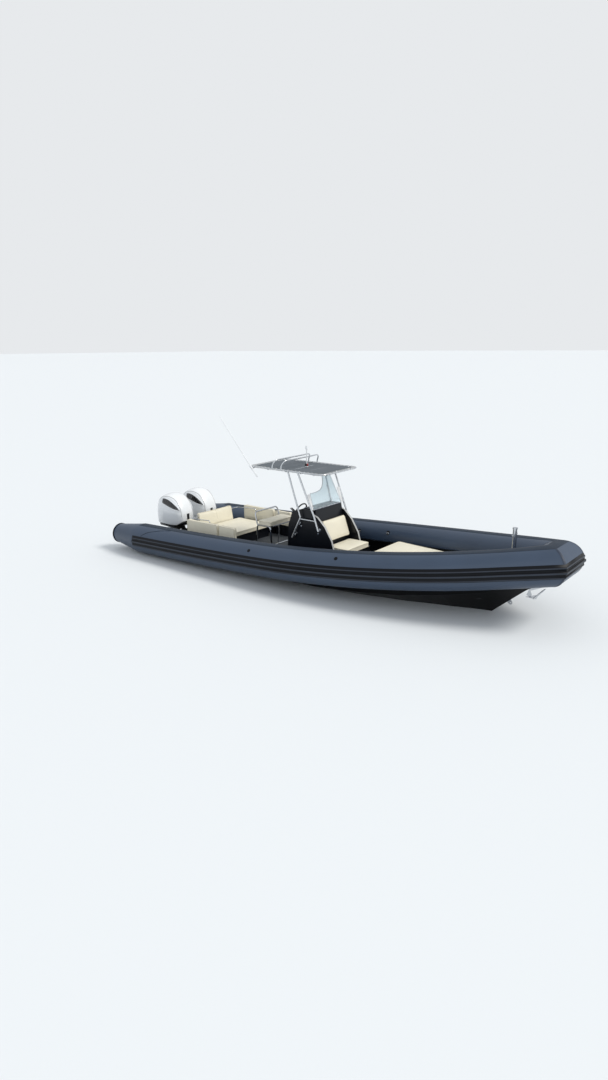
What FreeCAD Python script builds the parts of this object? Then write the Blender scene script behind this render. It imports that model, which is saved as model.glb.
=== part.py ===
"""Rigid inflatable boat with a T-top, a centre console and twin outboard engines.

Millimetres. +X towards the bow, +Y to port, +Z up. The origin lies on the
waterline, on the centreline, half way along the collar.
"""
import FreeCAD, Part
import math
import os
from FreeCAD import Vector

os.makedirs("parts", exist_ok=True)

# Fits
SEAT = 0.3                 # gap between a piece and the curved or soft piece it lies on
PIN_PLAY = 0.05            # radial play of a pin in its bore

# Collar
tube_radius = 350.0
tube_half_spacing = 1410.0
tube_aft_x = -5000.0
tube_cone_length = 850.0
tube_cone_tip_radius = 225.0
tube_curve_x = -370.0      # where the sides start to curve in
tube_nose_x = 5070.0       # centreline of the bow tube
tube_nose_half = 240.0     # half length of the bow tube's centreline
tube_curve_power = 2.2
tube_aft_z = 342.0
tube_rise_linear = 298.0
tube_rise_cubic = 489.0
cap_length = 90.0
cap_wall = 14.0
strake_height = 26.0
wear_height = 3.0

# Hull
transom_x = -4050.0
transom_thickness = 75.0
deck_z = 290.0
deck_sole_thickness = 12.0
deck_gap = 8.0
well_floor_z = 110.0
well_front_x = -3210.0
rail_width = 60.0          # hull flange between the collar and the cockpit
cockpit_front_x = 3900.0
cockpit_half = tube_half_spacing - tube_radius - rail_width
seat_angle = -125.0        # where the hull side meets the collar, from outboard

# Console
console_half = 500.0
console_aft_x = -480.0
console_seat_x = 1040.0
console_top_z = 1470.0
screen_foot_x = 255.0
screen_thickness = 8.0
# Edge of the screen: y, then the share of the way up to the cross bar
screen_outline = [(-485.0, 0.0), (485.0, 0.0), (360.0, 0.79), (345.0, 1.0), (85.0, 1.0), (70.0, 0.79), (45.0, 0.69),
                  (5.0, 0.595), (-45.0, 0.53), (-110.0, 0.487), (-200.0, 0.46), (-330.0, 0.447), (-455.0, 0.452)]
wheel_radius = 185.0
wheel_rim = 15.0
wheel_run = 150.0           # up the helm slope
wheel_standoff = 120.0
wheel_y = 0.0
wheel_hub_length = 60.0

# T-top
frame_tube = 19.0
ring_tube = 17.0
ring_z = 2250.0
ring_aft_x = -1420.0
ring_front_x = 570.0
ring_half = 620.0
ring_corner = 130.0
cross_bar = 14.0
cross_bar_x = (-900.0, -400.0, -20.0, 320.0)
hoop_rise = 190.0
hoop_tube = 15.0
top_leg_half = 560.0
canopy_lace_gap = 32.0
canopy_thickness = 10.0

# Antenna
antenna_radius = 13.0
antenna_length = 1600.0
antenna_tail = 250.0
antenna_lean = 41.0
antenna_x = -1285.0
antenna_y = -702.0
antenna_pin = 7.0

# Lid hinges
hinge_pin = 5.0
hinge_eye = 11.0
hinge_lug = 60.0
hinge_cheek = 6.0
hinge_side_gap = 1.0
hinge_reach = 13.0          # pin in front of the box
hinge_drop = 14.3           # pin below the lid's underside
bench_hinge_share = 0.6     # hinges at this share of the half width
locker_hinge_share = 0.6

# Helm seat
helm_seat_front_x = -1010.0
helm_seat_aft_x = -1490.0
helm_seat_half = 380.0
helm_seat_z = 900.0
helm_seat_splay = 50.0
helm_back_rise = 280.0
helm_pad_thickness = 90.0

# Aft seating
bench_aft_x = -3090.0
bench_front_x = -2060.0
bench_side_gap = 250.0      # gangway between the bench and the cockpit wall
bench_half = cockpit_half - bench_side_gap
bench_overhang = 25.0
bench_lid_z = 505.0
bulkhead_thickness = 40.0
backrest_inset = 190.0
backrest_half = bench_half - backrest_inset
backrest_z = 560.0
backrest_lean = 85.0
side_pad_x = ((-3080.0, -2090.0), (-2045.0, -1560.0))
side_pad_z = 560.0
side_pad_top = 910.0
side_pad_thickness = 90.0
coaming_thickness = 45.0
bench_lid_thickness = 25.0
cushion_top_z = 625.0
rail_clearance = 14.0
rail_tube = 12.0
rail_rise = 235.0
rail_front_x = -2490.0

# Bow locker
locker_aft_x = 1560.0
locker_front_x = 2900.0
locker_aft_margin = 160.0   # gangway beside the locker
locker_front_margin = 45.0
locker_top_z = 690.0
locker_wall = 20.0
locker_lid_thickness = 25.0
bow_pad_thickness = 70.0

# Engines
engine_half_spacing = 395.0
tilt_inboard = 40.0         # tilt pin forward of the transom's aft face
tilt_x = transom_x + tilt_inboard
tilt_z = 440.0
tilt_pin = 16.0
steer_back = 140.0
steer_x = tilt_x - steer_back
swivel_shaft = 26.0
swivel_sleeve = 44.0
swivel_top = 36.0          # top of the sleeve above the tilt pin
swivel_low_z = -60.0
swivel_gap = 6.0
cowl_back = 390.0           # cowl behind and ahead of the steering axis
cowl_ahead = 460.0
cowl_aft_x = steer_x - cowl_back
cowl_front_x = steer_x + cowl_ahead
cowl_bottom_z = 560.0
cowl_top_z = 1305.0
cowl_half = 292.0
cowl_wall = 22.0
pan_bottom_z = 500.0
plate_z = -330.0
shaft_z = -540.0
prop_radius = 195.0
prop_back = 270.0
prop_shaft_x = steer_x - prop_back     # aft face of the gearcase, where the propeller starts
leg_tail = 300.0            # trailing edge of the leg behind the steering axis
leg_half = 80.0
pan_half = 270.0
gearcase_radius = 72.0
powerhead_half = 180.0
powerhead_top_z = 1040.0


def box(x0, x1, y0, y1, z0, z1):
    return Part.makeBox(x1 - x0, y1 - y0, z1 - z0, Vector(x0, y0, z0))


def mirrored(shape):
    return shape.mirror(Vector(0, 0, 0), Vector(0, 1, 0))


def polygon(points):
    return Part.Wire(Part.makePolygon(list(points) + [points[0]]))


def profile_xz(points, half_width, y=0.0):
    """A plate or block with a side outline of x, z points, centred on y."""
    face = Part.Face(polygon([Vector(x, y - half_width, z) for x, z in points]))
    return face.extrude(Vector(0, 2 * half_width, 0))


def profile_xy(points, z0, z1):
    face = Part.Face(polygon([Vector(x, y, z0) for x, y in points]))
    return face.extrude(Vector(0, 0, z1 - z0))


def rod(start, end, radius):
    axis = end - start
    return Part.makeCylinder(radius, axis.Length, start, axis)


def route(points, bend):
    """Straight runs through the points, joined by tangent arcs of one bend radius."""
    edges = []
    start = points[0]
    for before, corner, after in zip(points, points[1:], points[2:]):
        back = (before - corner).normalize()
        ahead = (after - corner).normalize()
        half_turn = (math.pi - back.getAngle(ahead)) / 2
        reach = bend * math.tan(half_turn)
        middle = (back + ahead).normalize()
        arc_top = corner + middle * (bend / math.cos(half_turn) - bend)
        edges.append(Part.LineSegment(start, corner + back * reach).toShape())
        arc = Part.Arc(corner + back * reach, arc_top, corner + ahead * reach)
        edges.append(arc.toShape())
        start = corner + ahead * reach
    edges.append(Part.LineSegment(start, points[-1]).toShape())
    return Part.Wire(edges)


def pipe(points, radius, bend=60.0):
    """A round bar or tube, drawn as a solid, along a bent route."""
    if len(points) == 2:
        return rod(points[0], points[1], radius)
    path = route(points, bend)
    ring = Part.makeCircle(radius, points[0], points[1] - points[0])
    return path.makePipe(Part.Face(Part.Wire(ring)))


class Slope:
    """A straight line in the XZ plane, with distances along it and out from its left side."""

    def __init__(self, start, end):
        self.start = Vector(start[0], 0, start[1])
        span = Vector(end[0] - start[0], 0, end[1] - start[1])
        self.length = span.Length
        self.along = span.normalize()
        self.out = Vector(-self.along.z, 0, self.along.x)

    def at(self, run, height):
        spot = self.start + self.along * run + self.out * height
        return (spot.x, spot.z)


def fused(shapes):
    whole = shapes[0]
    if len(shapes) > 1:
        whole = whole.multiFuse(shapes[1:])
    return whole.removeSplitter()


def rounded(shape, radius, chosen):
    """Fillets the edges for which chosen(edge) is true."""
    edges = [edge for edge in shape.Edges if chosen(edge)]
    if not edges:
        return shape
    return shape.makeFillet(radius, edges)


def is_vertical(edge):
    span = edge.BoundBox
    return span.XLength < 1e-3 and span.YLength < 1e-3


# Collar stations


def plan_y(x):
    """Half width of the collar's centreline at x."""
    run = max(0.0, (x - tube_curve_x) / (tube_nose_x - tube_curve_x))
    return tube_half_spacing - (tube_half_spacing - tube_nose_half) * run ** tube_curve_power


def plan_angle(x):
    """Angle of the collar's centreline to the X axis, in plan."""
    run = max(0.0, (x - tube_curve_x) / (tube_nose_x - tube_curve_x))
    slope = (tube_half_spacing - tube_nose_half) * tube_curve_power
    slope = slope * run ** (tube_curve_power - 1) / (tube_nose_x - tube_curve_x)
    return math.atan(slope)


def sheer_z(x):
    run = (x - tube_aft_x) / (tube_nose_x - tube_aft_x)
    return tube_aft_z + tube_rise_linear * run + tube_rise_cubic * run ** 3


side_x = [tube_aft_x + tube_cone_length, tube_curve_x, 700.0, 1600.0, 2500.0, 3300.0, 4000.0, 4600.0]


class Station:
    """A section across the collar: its centre, and the outboard reach of each unit of radius."""

    def __init__(self, centre, outward):
        self.centre = centre
        self.outward = outward

    def point(self, radius, angle):
        turn = math.radians(angle)
        return self.centre + self.outward * (radius * math.cos(turn)) + Vector(
            0, 0, radius * math.sin(turn))

    def arc(self, radius, from_angle, to_angle):
        middle = self.point(radius, (from_angle + to_angle) / 2)
        start = self.point(radius, from_angle)
        end = self.point(radius, to_angle)
        stretch = self.outward.Length
        if abs(stretch - 1) < 1e-6:
            return Part.Arc(start, middle, end).toShape()
        ellipse = Part.Ellipse(self.centre + self.outward * radius,
                               self.centre + Vector(0, 0, radius), self.centre)
        first = ellipse.parameter(start)
        last = ellipse.parameter(end)
        if from_angle < to_angle:
            return Part.ArcOfEllipse(ellipse, first, last).toShape()
        edge = Part.ArcOfEllipse(ellipse, last, first).toShape()
        return edge

    def mirror(self):
        centre = Vector(self.centre.x, -self.centre.y, self.centre.z)
        return Station(centre, Vector(self.outward.x, -self.outward.y, 0))


def side_station(x):
    """Station in the plane across the boat at x, on the port side."""
    known = [s for s in side_x]
    before = max([s for s in known if s <= x] or [known[0]])
    after = min([s for s in known if s >= x] or [known[-1]])
    share = 0.0 if after == before else (x - before) / (after - before)
    y = plan_y(before) * (1 - share) + plan_y(after) * share
    z = sheer_z(before) * (1 - share) + sheer_z(after) * share
    stretch_before = 1 / math.cos(plan_angle(before))
    stretch_after = 1 / math.cos(plan_angle(after))
    stretch = stretch_before * (1 - share) + stretch_after * share
    return Station(Vector(x, y, z), Vector(0, stretch, 0))


def corner_station():
    """Station in the mitre plane between the port side and the bow tube."""
    turn = math.pi / 2 - plan_angle(tube_nose_x)
    middle = math.pi / 2 - plan_angle(tube_nose_x) - turn / 2
    stretch = 1 / math.cos(turn / 2)
    outward = Vector(math.cos(middle), math.sin(middle), 0) * stretch
    return Station(Vector(tube_nose_x, tube_nose_half, sheer_z(tube_nose_x)), outward)


port_stations = [side_station(x) for x in side_x] + [corner_station()]


def ring_wire(station, radius):
    quarters = [(0, 90), (90, 180), (180, 270), (270, 360)]
    return Part.Wire([station.arc(radius, a, b) for a, b in quarters])


def band_wire(station, outline):
    """Closed outline of angle, height pairs outside the collar; the inner side is an arc."""
    inner = tube_radius + SEAT
    first = outline[0][0]
    last = outline[-1][0]
    rows = [(first, 0.0)] + outline + [(last, 0.0)]
    edges = []
    for (angle, height), (next_angle, next_height) in zip(rows, rows[1:]):
        if height == next_height and abs(next_angle - angle) > 10:
            edges.append(station.arc(inner + height, angle, next_angle))
        else:
            start = station.point(inner + height, angle)
            end = station.point(inner + next_height, next_angle)
            edges.append(Part.LineSegment(start, end).toShape())
    edges.append(station.arc(inner, last, first))
    return Part.Wire(edges)


def loft(wires):
    return Part.makeLoft(wires, True, True)


def tube_side():
    main = loft([ring_wire(s, tube_radius) for s in port_stations])
    aft = port_stations[0]
    tip = Vector(tube_aft_x, aft.centre.y, aft.centre.z)
    cone = Part.makeCone(tube_cone_tip_radius, tube_radius, tube_cone_length, tip, Vector(1, 0, 0))
    return fused([main, cone])


def tube_bow():
    corner = port_stations[-1]
    return loft([ring_wire(corner, tube_radius), ring_wire(corner.mirror(), tube_radius)])


def tube_cap():
    """Rubber dome over the cone's tip, with a lip that grips the cone."""
    aft = port_stations[0].centre
    tip = Vector(tube_aft_x - SEAT, aft.y, aft.z)
    r = tube_cone_tip_radius + cap_wall
    lip = cap_length * 0.25
    crown = r * 0.5
    points = [Vector(0, 0, 0), Vector(0, r, 0), Vector(-lip, r, 0), Vector(-cap_length, crown, 0),
              Vector(-cap_length, 0, 0)]
    bulge = Vector(-lip - (cap_length - lip) * 0.68, crown + (r - crown) * 0.68, 0)
    edges = [Part.LineSegment(points[0], points[1]).toShape(),
             Part.LineSegment(points[1], points[2]).toShape(),
             Part.Arc(points[2], bulge, points[3]).toShape(),
             Part.LineSegment(points[3], points[4]).toShape(),
             Part.LineSegment(points[4], points[0]).toShape()]
    dome = Part.Face(Part.Wire(edges)).revolve(Vector(0, 0, 0), Vector(1, 0, 0), 360)
    dome.translate(tip)
    return dome


strake_shape = [(27, 0.08), (25, 0.2), (17, 0.23), (15, 0.54), (11, 0.54), (9, 0.23), (3, 0.23), (1, 1.0),
                (-6, 1.0), (-8, 0.23), (-14, 0.23), (-16, 0.54), (-20, 0.54), (-22, 0.08)]
wear_shape = [(109, 0.5), (108, 1.0), (72, 1.0), (71, 0.5)]


def whole_band(shape, height):
    """Band bonded round the whole collar; the shape gives angles and shares of its height."""
    outline = [(angle, share * height) for angle, share in shape]
    stations = port_stations + [s.mirror() for s in reversed(port_stations)]
    return loft([band_wire(s, outline) for s in stations])


# Hull: x, keel z, chine inboard of the collar's centreline, chine z
hull_stations = [
    (transom_x, -360.0, 280.0, 45.0),
    (tube_curve_x, -360.0, 280.0, 60.0),
    (700.0, -352.0, 282.0, 90.0),
    (1600.0, -335.0, 275.0, 145.0),
    (2500.0, -290.0, 263.0, 225.0),
    (3300.0, -185.0, 278.0, 340.0),
    (4000.0, 0.0, 317.0, 460.0),
    (4600.0, 520.0, 301.0, 690.0),
]
stem_tip_x = 4900.0
stem_tip_z = 735.0
stem_tip_half = 70.0
stem_tip_top = 785.0


def hull_wire(row):
    x, keel_z, chine_inset, chine_z = row
    station = side_station(x)
    chine_y = station.centre.y - chine_inset
    inner = tube_radius + SEAT
    seat = station.point(inner, seat_angle)
    top = station.point(inner, -180)
    keel = Vector(x, 0, keel_z)
    chine = Vector(x, chine_y, chine_z)
    arc = station.arc(inner, -180, seat_angle)
    half = [Part.LineSegment(keel, chine).toShape(), Part.LineSegment(chine, seat).toShape(), arc]
    other = [mirrored(edge) for edge in half]
    across = Part.LineSegment(top, Vector(x, -top.y, top.z)).toShape()
    return Part.Wire(Part.__sortEdges__(half + [across] + other))


def hull():
    body = loft([hull_wire(row) for row in hull_stations])
    last = hull_stations[-1]
    seat = side_station(last[0]).point(tube_radius + SEAT, seat_angle)
    root = polygon([Vector(last[0], 0, last[1]), Vector(last[0], seat.y, seat.z),
                    Vector(last[0], -seat.y, seat.z)])
    tip = polygon([Vector(stem_tip_x, 0, stem_tip_z), Vector(stem_tip_x, stem_tip_half, stem_tip_top),
                   Vector(stem_tip_x, -stem_tip_half, stem_tip_top)])
    stem = loft([root, tip])
    body = fused([body, stem])
    xs = [well_front_x] + [x for x in side_x if well_front_x < x < cockpit_front_x] + [cockpit_front_x]
    edge = [(x, inner_edge(x)) for x in xs]
    plan = edge + [(x, -y) for x, y in reversed(edge)]
    cockpit = profile_xy(plan, deck_z, deck_z + 1500)
    well_half = inner_edge(transom_x)
    well = box(transom_x + transom_thickness, well_front_x, -well_half, well_half,
               well_floor_z, deck_z + 1500)
    return body.cut(cockpit).cut(well)


def inner_edge(x):
    """Half width of the cockpit at x, inside the hull's flange."""
    station = side_station(x)
    return station.point(tube_radius, 180).y - rail_width


def deck_sole():
    xs = [well_front_x + deck_gap]
    xs += [x for x in side_x if well_front_x < x < cockpit_front_x] + [cockpit_front_x - deck_gap]
    edge = [(x, inner_edge(x) - deck_gap) for x in xs]
    plan = edge + [(x, -y) for x, y in reversed(edge)]
    return profile_xy(plan, deck_z, deck_z + deck_sole_thickness)


sole_z = deck_z + deck_sole_thickness

# Console side outline, from the foot of the aft face round to the foot of the seat
helm_low = (console_aft_x + 40, 1080.0)
helm_high = (-330.0, 1370.0)
seat_back_high = (300.0, 1225.0)
seat_back_low = (455.0, 790.0)
helm_slope = Slope(helm_low, helm_high)
seat_back_slope = Slope(seat_back_high, seat_back_low)
console_outline = [
    (console_aft_x, sole_z),
    helm_low,
    helm_high,
    (-60.0, console_top_z),
    (screen_foot_x, console_top_z),
    seat_back_high,
    seat_back_low,
    (470.0, 640.0),
    (console_seat_x - 20, 640.0),
    (console_seat_x - 60, sole_z),
]
wing_outline = [(200.0, sole_z), (200.0, 1380.0), (330.0, 1330.0), (520.0, 1150.0), (690.0, 880.0),
                (760.0, 640.0), (780.0, sole_z)]
wing_thickness = 45.0


def console():
    body = profile_xz(console_outline, console_half - wing_thickness)
    body = fused([body] + [
        profile_xz(wing_outline, wing_thickness / 2, side * (console_half - wing_thickness / 2))
        for side in (1, -1)])
    cheek = [(console_aft_x + 1, sole_z), (console_aft_x + 41, 1080.0), (-329.0, 1370.0), (-60.0, 1468.0),
             (220.0, 1468.0), (220.0, sole_z)]
    cheeks = [profile_xz(cheek, wing_thickness / 2, side * (console_half - wing_thickness / 2))
              for side in (1, -1)]
    return fused([body] + cheeks)


screen_slope = Slope((screen_foot_x - 20, console_top_z + SEAT), (screen_foot_x - 20 - 257, 2209.0))


def windscreen():
    """Acrylic sheet: low on the starboard side, and up to the top's cross bar on the port side."""
    foot = Vector(screen_slope.start.x, 0, screen_slope.start.z)
    outline = [(y, share * screen_slope.length) for y, share in screen_outline]
    face = Part.Face(polygon([foot + Vector(0, y, 0) + screen_slope.along * up for y, up in outline]))
    sheet = face.extrude(screen_slope.out * screen_thickness)
    below = box(foot.x - 200, foot.x + 200, -2 * console_half, 2 * console_half, foot.z - 50, foot.z)
    return sheet.cut(below)


def screen_frame(side):
    """Plate between the edge of the screen and the front leg."""
    edge = console_half + 2
    near_leg = top_leg_half - frame_tube + 2.7
    points = [(0.02, edge), (0.44, edge - 26), (0.44, near_leg + 22), (0.02, near_leg)]
    foot = screen_slope.start
    face = Part.Face(polygon([foot + Vector(0, y * side, 0) + screen_slope.along * (share * screen_slope.length)
                              for share, y in points]))
    return face.extrude(screen_slope.out * screen_thickness)


def wheel_axis():
    return helm_slope.out


def wheel_middle():
    x, z = helm_slope.at(wheel_run, wheel_standoff)
    return Vector(x, wheel_y, z)


def steering_wheel():
    centre = wheel_middle()
    axis = wheel_axis()
    rim = Part.makeTorus(wheel_radius, wheel_rim, centre, axis)
    hub = rod(centre - axis * wheel_hub_length, centre + axis * 15, 38)
    spokes = []
    side = Vector(0, 1, 0)
    up = axis.cross(side)
    for angle in (90, 210, 330):
        turn = math.radians(angle)
        direction = side * math.cos(turn) + up * math.sin(turn)
        spokes.append(rod(centre - axis * 12, centre + direction * wheel_radius, 11))
    return fused([rim, hub] + spokes)


def helm_pod():
    """Bearing on the helm slope that carries the wheel's shaft."""
    tip = wheel_middle() - wheel_axis() * (wheel_hub_length + SEAT)
    return rod(tip - wheel_axis() * wheel_standoff, tip, 50)


throttle_y = -300.0


def throttle():
    base = profile_xz([helm_slope.at(150, SEAT), helm_slope.at(290, SEAT), helm_slope.at(270, 60),
                       helm_slope.at(170, 60)], 55, throttle_y)
    levers = [profile_xz([helm_slope.at(210, 50), helm_slope.at(240, 50), helm_slope.at(265, 190),
                          helm_slope.at(250, 192)], 6, throttle_y + side * 22) for side in (1, -1)]
    return fused([base] + levers)


seat_pad_thickness = 95.0


def front_seat():
    seat = box(seat_back_low[0] + 60, console_seat_x, -410, 410, 640 + SEAT, 740)
    run = seat_back_slope.length
    back = profile_xz([seat_back_slope.at(2, SEAT), seat_back_slope.at(-5, seat_pad_thickness - 25),
                       seat_back_slope.at(20, seat_pad_thickness), seat_back_slope.at(run - 10, seat_pad_thickness),
                       seat_back_slope.at(run - 10, SEAT)], 400)
    return [seat, back]


# T-top


def leg_route(kind, side):
    """Leg points from the ring down to the console's side."""
    table = {
        "aft": [(-350, ring_half - 10, ring_z - 6), (-60, top_leg_half, 1290), (-290, top_leg_half, 830)],
        "front": [(-90, ring_half - 10, ring_z - 6), (290, top_leg_half, 1370), (400, top_leg_half, 1060)],
    }
    return [Vector(x, y * side, z) for x, y, z in table[kind]]


def ttop_legs(side):
    legs = [pipe(leg_route("aft", side), frame_tube, 90), pipe(leg_route("front", side), frame_tube, 120)]
    y = side * top_leg_half
    rail = rod(Vector(-90, y, 1262), Vector(330, y, 1262), frame_tube * 0.8)
    feet = []
    for x, z in ((-262, 890), (-130, 1150), (395, 1085)):
        feet.append(rod(Vector(x, side * console_half, z), Vector(x, y, z), 16))
    ring_side = rod(Vector(ring_aft_x, side * ring_half, ring_z), Vector(ring_front_x, side * ring_half, ring_z),
                    ring_tube + SEAT)
    return fused(legs + [rail] + feet).cut(ring_side)


def ttop_ring():
    z = ring_z
    a, f, h, c = ring_aft_x, ring_front_x, ring_half, ring_corner
    sides = [(a, -h), (f, -h), (f, h), (a, h)]
    edges = []
    for (x0, y0), (x1, y1) in zip(sides, sides[1:] + sides[:1]):
        start, end = Vector(x0, y0, z), Vector(x1, y1, z)
        ahead = (end - start).normalize()
        turned = Vector(-ahead.y, ahead.x, 0)
        first, last = start + ahead * c, end - ahead * c
        edges.append(Part.LineSegment(first, last).toShape())
        middle = end - (ahead - turned) * (c * (1 - math.sqrt(0.5)))
        edges.append(Part.Arc(last, middle, end + turned * c).toShape())
    path = Part.Wire(edges)
    start = Vector(a + c, -h, z)
    bars = [path.makePipe(Part.Face(Part.Wire(Part.makeCircle(ring_tube, start, Vector(1, 0, 0)))))]
    low = z - canopy_thickness / 2 - SEAT - cross_bar
    for x in cross_bar_x:
        bars.append(rod(Vector(x, -h, low), Vector(x, h, low), cross_bar))
    return fused(bars)


def canopy():
    gap = ring_tube + canopy_lace_gap
    x0, x1, h = ring_aft_x + gap, ring_front_x - gap, ring_half - gap
    sheet = box(x0, x1, -h, h, ring_z - canopy_thickness / 2, ring_z + canopy_thickness / 2)
    return rounded(sheet, ring_corner - gap / 2, is_vertical)


def ttop_hoops():
    loops = []
    for x, lean in ((-760.0, 60.0), (-520.0, 60.0)):
        half = [Vector(x, -ring_half, ring_z + ring_tube + SEAT), Vector(x, -ring_half, ring_z + hoop_rise * 0.35),
                Vector(x + lean, -ring_half + 10, ring_z + hoop_rise)]
        loops.append(pipe(half + [Vector(p.x, -p.y, p.z) for p in reversed(half)], hoop_tube, hoop_rise * 0.55))
    return loops


def antenna_axis():
    turn = math.radians(antenna_lean)
    return Vector(-math.sin(turn), 0, math.cos(turn))


antenna_pivot = Vector(antenna_x, antenna_y, ring_z)


def antenna():
    low = antenna_pivot - antenna_axis() * antenna_tail
    high = antenna_pivot + antenna_axis() * (antenna_length - antenna_tail)
    whip = Part.makeCone(antenna_radius, antenna_radius * 0.6, antenna_length, low, antenna_axis())
    collar = rod(antenna_pivot - antenna_axis() * 45, antenna_pivot + antenna_axis() * 45, 24)
    body = fused([whip, collar])
    bore = rod(antenna_pivot + Vector(0, -40, 0), antenna_pivot + Vector(0, 40, 0), antenna_pin + PIN_PLAY)
    return body.cut(bore)


def antenna_bracket():
    """Ratchet mount clamped on the ring, with the pin that the whip folds on."""
    pad = box(antenna_x - 30, antenna_x + 30, -ring_half - 46, -ring_half - 4, ring_z - 26, ring_z + 26)
    pin = rod(Vector(antenna_x, -ring_half - 40, ring_z), Vector(antenna_x, antenna_y - 34, ring_z), antenna_pin)
    return fused([pad, pin])


def nav_light():
    x = -330.0
    base = Part.makeCylinder(32, 20, Vector(x, 0, ring_z + canopy_thickness / 2 + SEAT))
    stem = Part.makeCylinder(11, 380, Vector(x, 0, ring_z + canopy_thickness / 2 + 10))
    lamp = Part.makeCylinder(26, 70, Vector(x, 0, ring_z + 380))
    return fused([base, stem, lamp])


# Helm seat


def helm_seat_frame():
    """Two bent side hoops on deck flanges, cross bars and a back hoop."""
    half, low, high = helm_seat_half, sole_z + SEAT, helm_seat_z
    front, aft, tube = helm_seat_front_x, helm_seat_aft_x, frame_tube
    bars = []
    for side in (1, -1):
        y = side * half
        bars.append(pipe([Vector(front, y, low), Vector(front - helm_seat_splay, y, high),
                          Vector(aft + helm_seat_splay, y, high), Vector(aft, y, low)], tube, tube * 3.7))
        for x in (front, aft):
            bars.append(Part.makeCylinder(tube * 2.4, tube * 0.4, Vector(x, y, low)))
    foot_x = front - helm_seat_splay * 0.3
    for x, z in ((front - helm_seat_splay, high), (aft + helm_seat_splay, high), (foot_x, low + (high - low) * 0.3)):
        bars.append(rod(Vector(x, -half, z), Vector(x, half, z), tube * 0.8))
    top = high + helm_back_rise
    back = pipe([Vector(aft + helm_seat_splay, half, high), Vector(aft - tube, half, top),
                 Vector(aft - tube, -half, top), Vector(aft + helm_seat_splay, -half, high)], tube * 0.84, tube * 4.2)
    below = box(aft - 2 * half, front + 2 * half, -2 * half, 2 * half, low - half, low)
    return fused(bars + [back]).cut(below)


def helm_seat_cushion():
    low = helm_seat_z + frame_tube + SEAT
    aft = helm_seat_aft_x + helm_seat_splay + frame_tube * 1.5
    return box(aft, helm_seat_front_x - frame_tube, -helm_seat_half - frame_tube * 2, helm_seat_half + frame_tube * 2,
               low, low + helm_pad_thickness)


# Lid hinges: two cheeks and a pin on the box, and a bored lug under the lid


def hinge_fixed(face_x, lid_z, y):
    x, z = face_x + hinge_reach, lid_z - hinge_drop
    half = hinge_lug / 2 + hinge_side_gap
    cheek = [(face_x - 1, z - hinge_eye * 1.6), (x, z - hinge_eye), (x + hinge_eye * 0.7, z),
             (x, z + hinge_eye * 0.8), (face_x - 1, z + hinge_eye * 0.8)]
    cheeks = [profile_xz(cheek, hinge_cheek / 2, y + side * (half + hinge_cheek / 2)) for side in (1, -1)]
    pin = rod(Vector(x, y - half - hinge_cheek, z), Vector(x, y + half + hinge_cheek, z), hinge_pin)
    return cheeks + [pin]


def hinge_lug_ring(face_x, lid_z, y):
    x, z = face_x + hinge_reach, lid_z - hinge_drop
    low, high = y - hinge_lug / 2, y + hinge_lug / 2
    ring = rod(Vector(x, low, z), Vector(x, high, z), hinge_eye)
    neck = box(x - hinge_eye * 0.6, x + hinge_eye, low, high, z, lid_z + 1)
    return fused([ring, neck]).cut(rod(Vector(x, low - 1, z), Vector(x, high + 1, z), hinge_pin + PIN_PLAY))


# Aft seating


def bench():
    """Seat box with a bulkhead behind it that carries the backrest."""
    front = bench_front_x - bench_overhang
    body = box(bench_aft_x, front, -bench_half + 30, bench_half - 30, sole_z, bench_lid_z)
    hollow = box(bench_aft_x + 40, front - 40, -bench_half + 70, bench_half - 70,
                 sole_z + 20, bench_lid_z + 1)
    bulkhead = box(bench_aft_x - bulkhead_thickness, bench_aft_x, -backrest_half, backrest_half,
                   sole_z, backrest_z)
    hinges = []
    for side in (1, -1):
        hinges += hinge_fixed(front, bench_lid_z + SEAT, side * bench_half * bench_hinge_share)
    return fused([body.cut(hollow), bulkhead] + hinges)


def bench_lid():
    lid = box(bench_aft_x + 12, bench_front_x, -bench_half, bench_half,
              bench_lid_z + SEAT, bench_lid_z + bench_lid_thickness)
    lugs = [hinge_lug_ring(bench_front_x - bench_overhang, bench_lid_z + SEAT, side * bench_half * bench_hinge_share)
            for side in (1, -1)]
    return fused([lid] + lugs)


def bench_cushion():
    return box(bench_aft_x + 15, bench_front_x, -bench_half, bench_half,
               bench_lid_z + bench_lid_thickness + SEAT, cushion_top_z)


def backrest():
    low = backrest_z + SEAT
    aft = bench_aft_x - bulkhead_thickness
    return profile_xz([(aft, low), (aft - backrest_lean, 940), (aft - backrest_lean + 65, 955),
                       (bench_aft_x - 5, low + 80), (bench_aft_x - 5, low)], backrest_half)


def backrest_rails():
    """Grab rails from the backrest's ends, outboard of the lid, down to the deck."""
    rails = []
    x = bench_aft_x - bulkhead_thickness - 33
    y = bench_half + rail_clearance + rail_tube
    z = cushion_top_z + rail_rise
    for side in (1, -1):
        rails.append(pipe([Vector(x, side * (backrest_half + SEAT), z), Vector(x, side * y, z),
                           Vector(rail_front_x - 60, side * y, z + 40), Vector(rail_front_x, side * y, sole_z + SEAT)],
                          rail_tube, rail_tube * 4))
    deck_cut = box(x, rail_front_x + 100, -2 * y, 2 * y, sole_z - 100, sole_z + SEAT)
    return [rail.cut(deck_cut) for rail in rails]


def cockpit_wall_y():
    return inner_edge(bench_aft_x)


def side_coamings():
    panels = []
    outer = cockpit_wall_y()
    for aft, front in side_pad_x:
        panel = box(aft, front, outer - coaming_thickness, outer, sole_z, side_pad_z)
        panels += [panel, mirrored(panel)]
    return panels


def side_pads():
    pads = []
    outer = cockpit_wall_y()
    for aft, front in side_pad_x:
        pad = box(aft, front, outer - side_pad_thickness, outer, side_pad_z + SEAT, side_pad_top)
        pads += [pad, mirrored(pad)]
    return pads


# Bow


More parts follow.
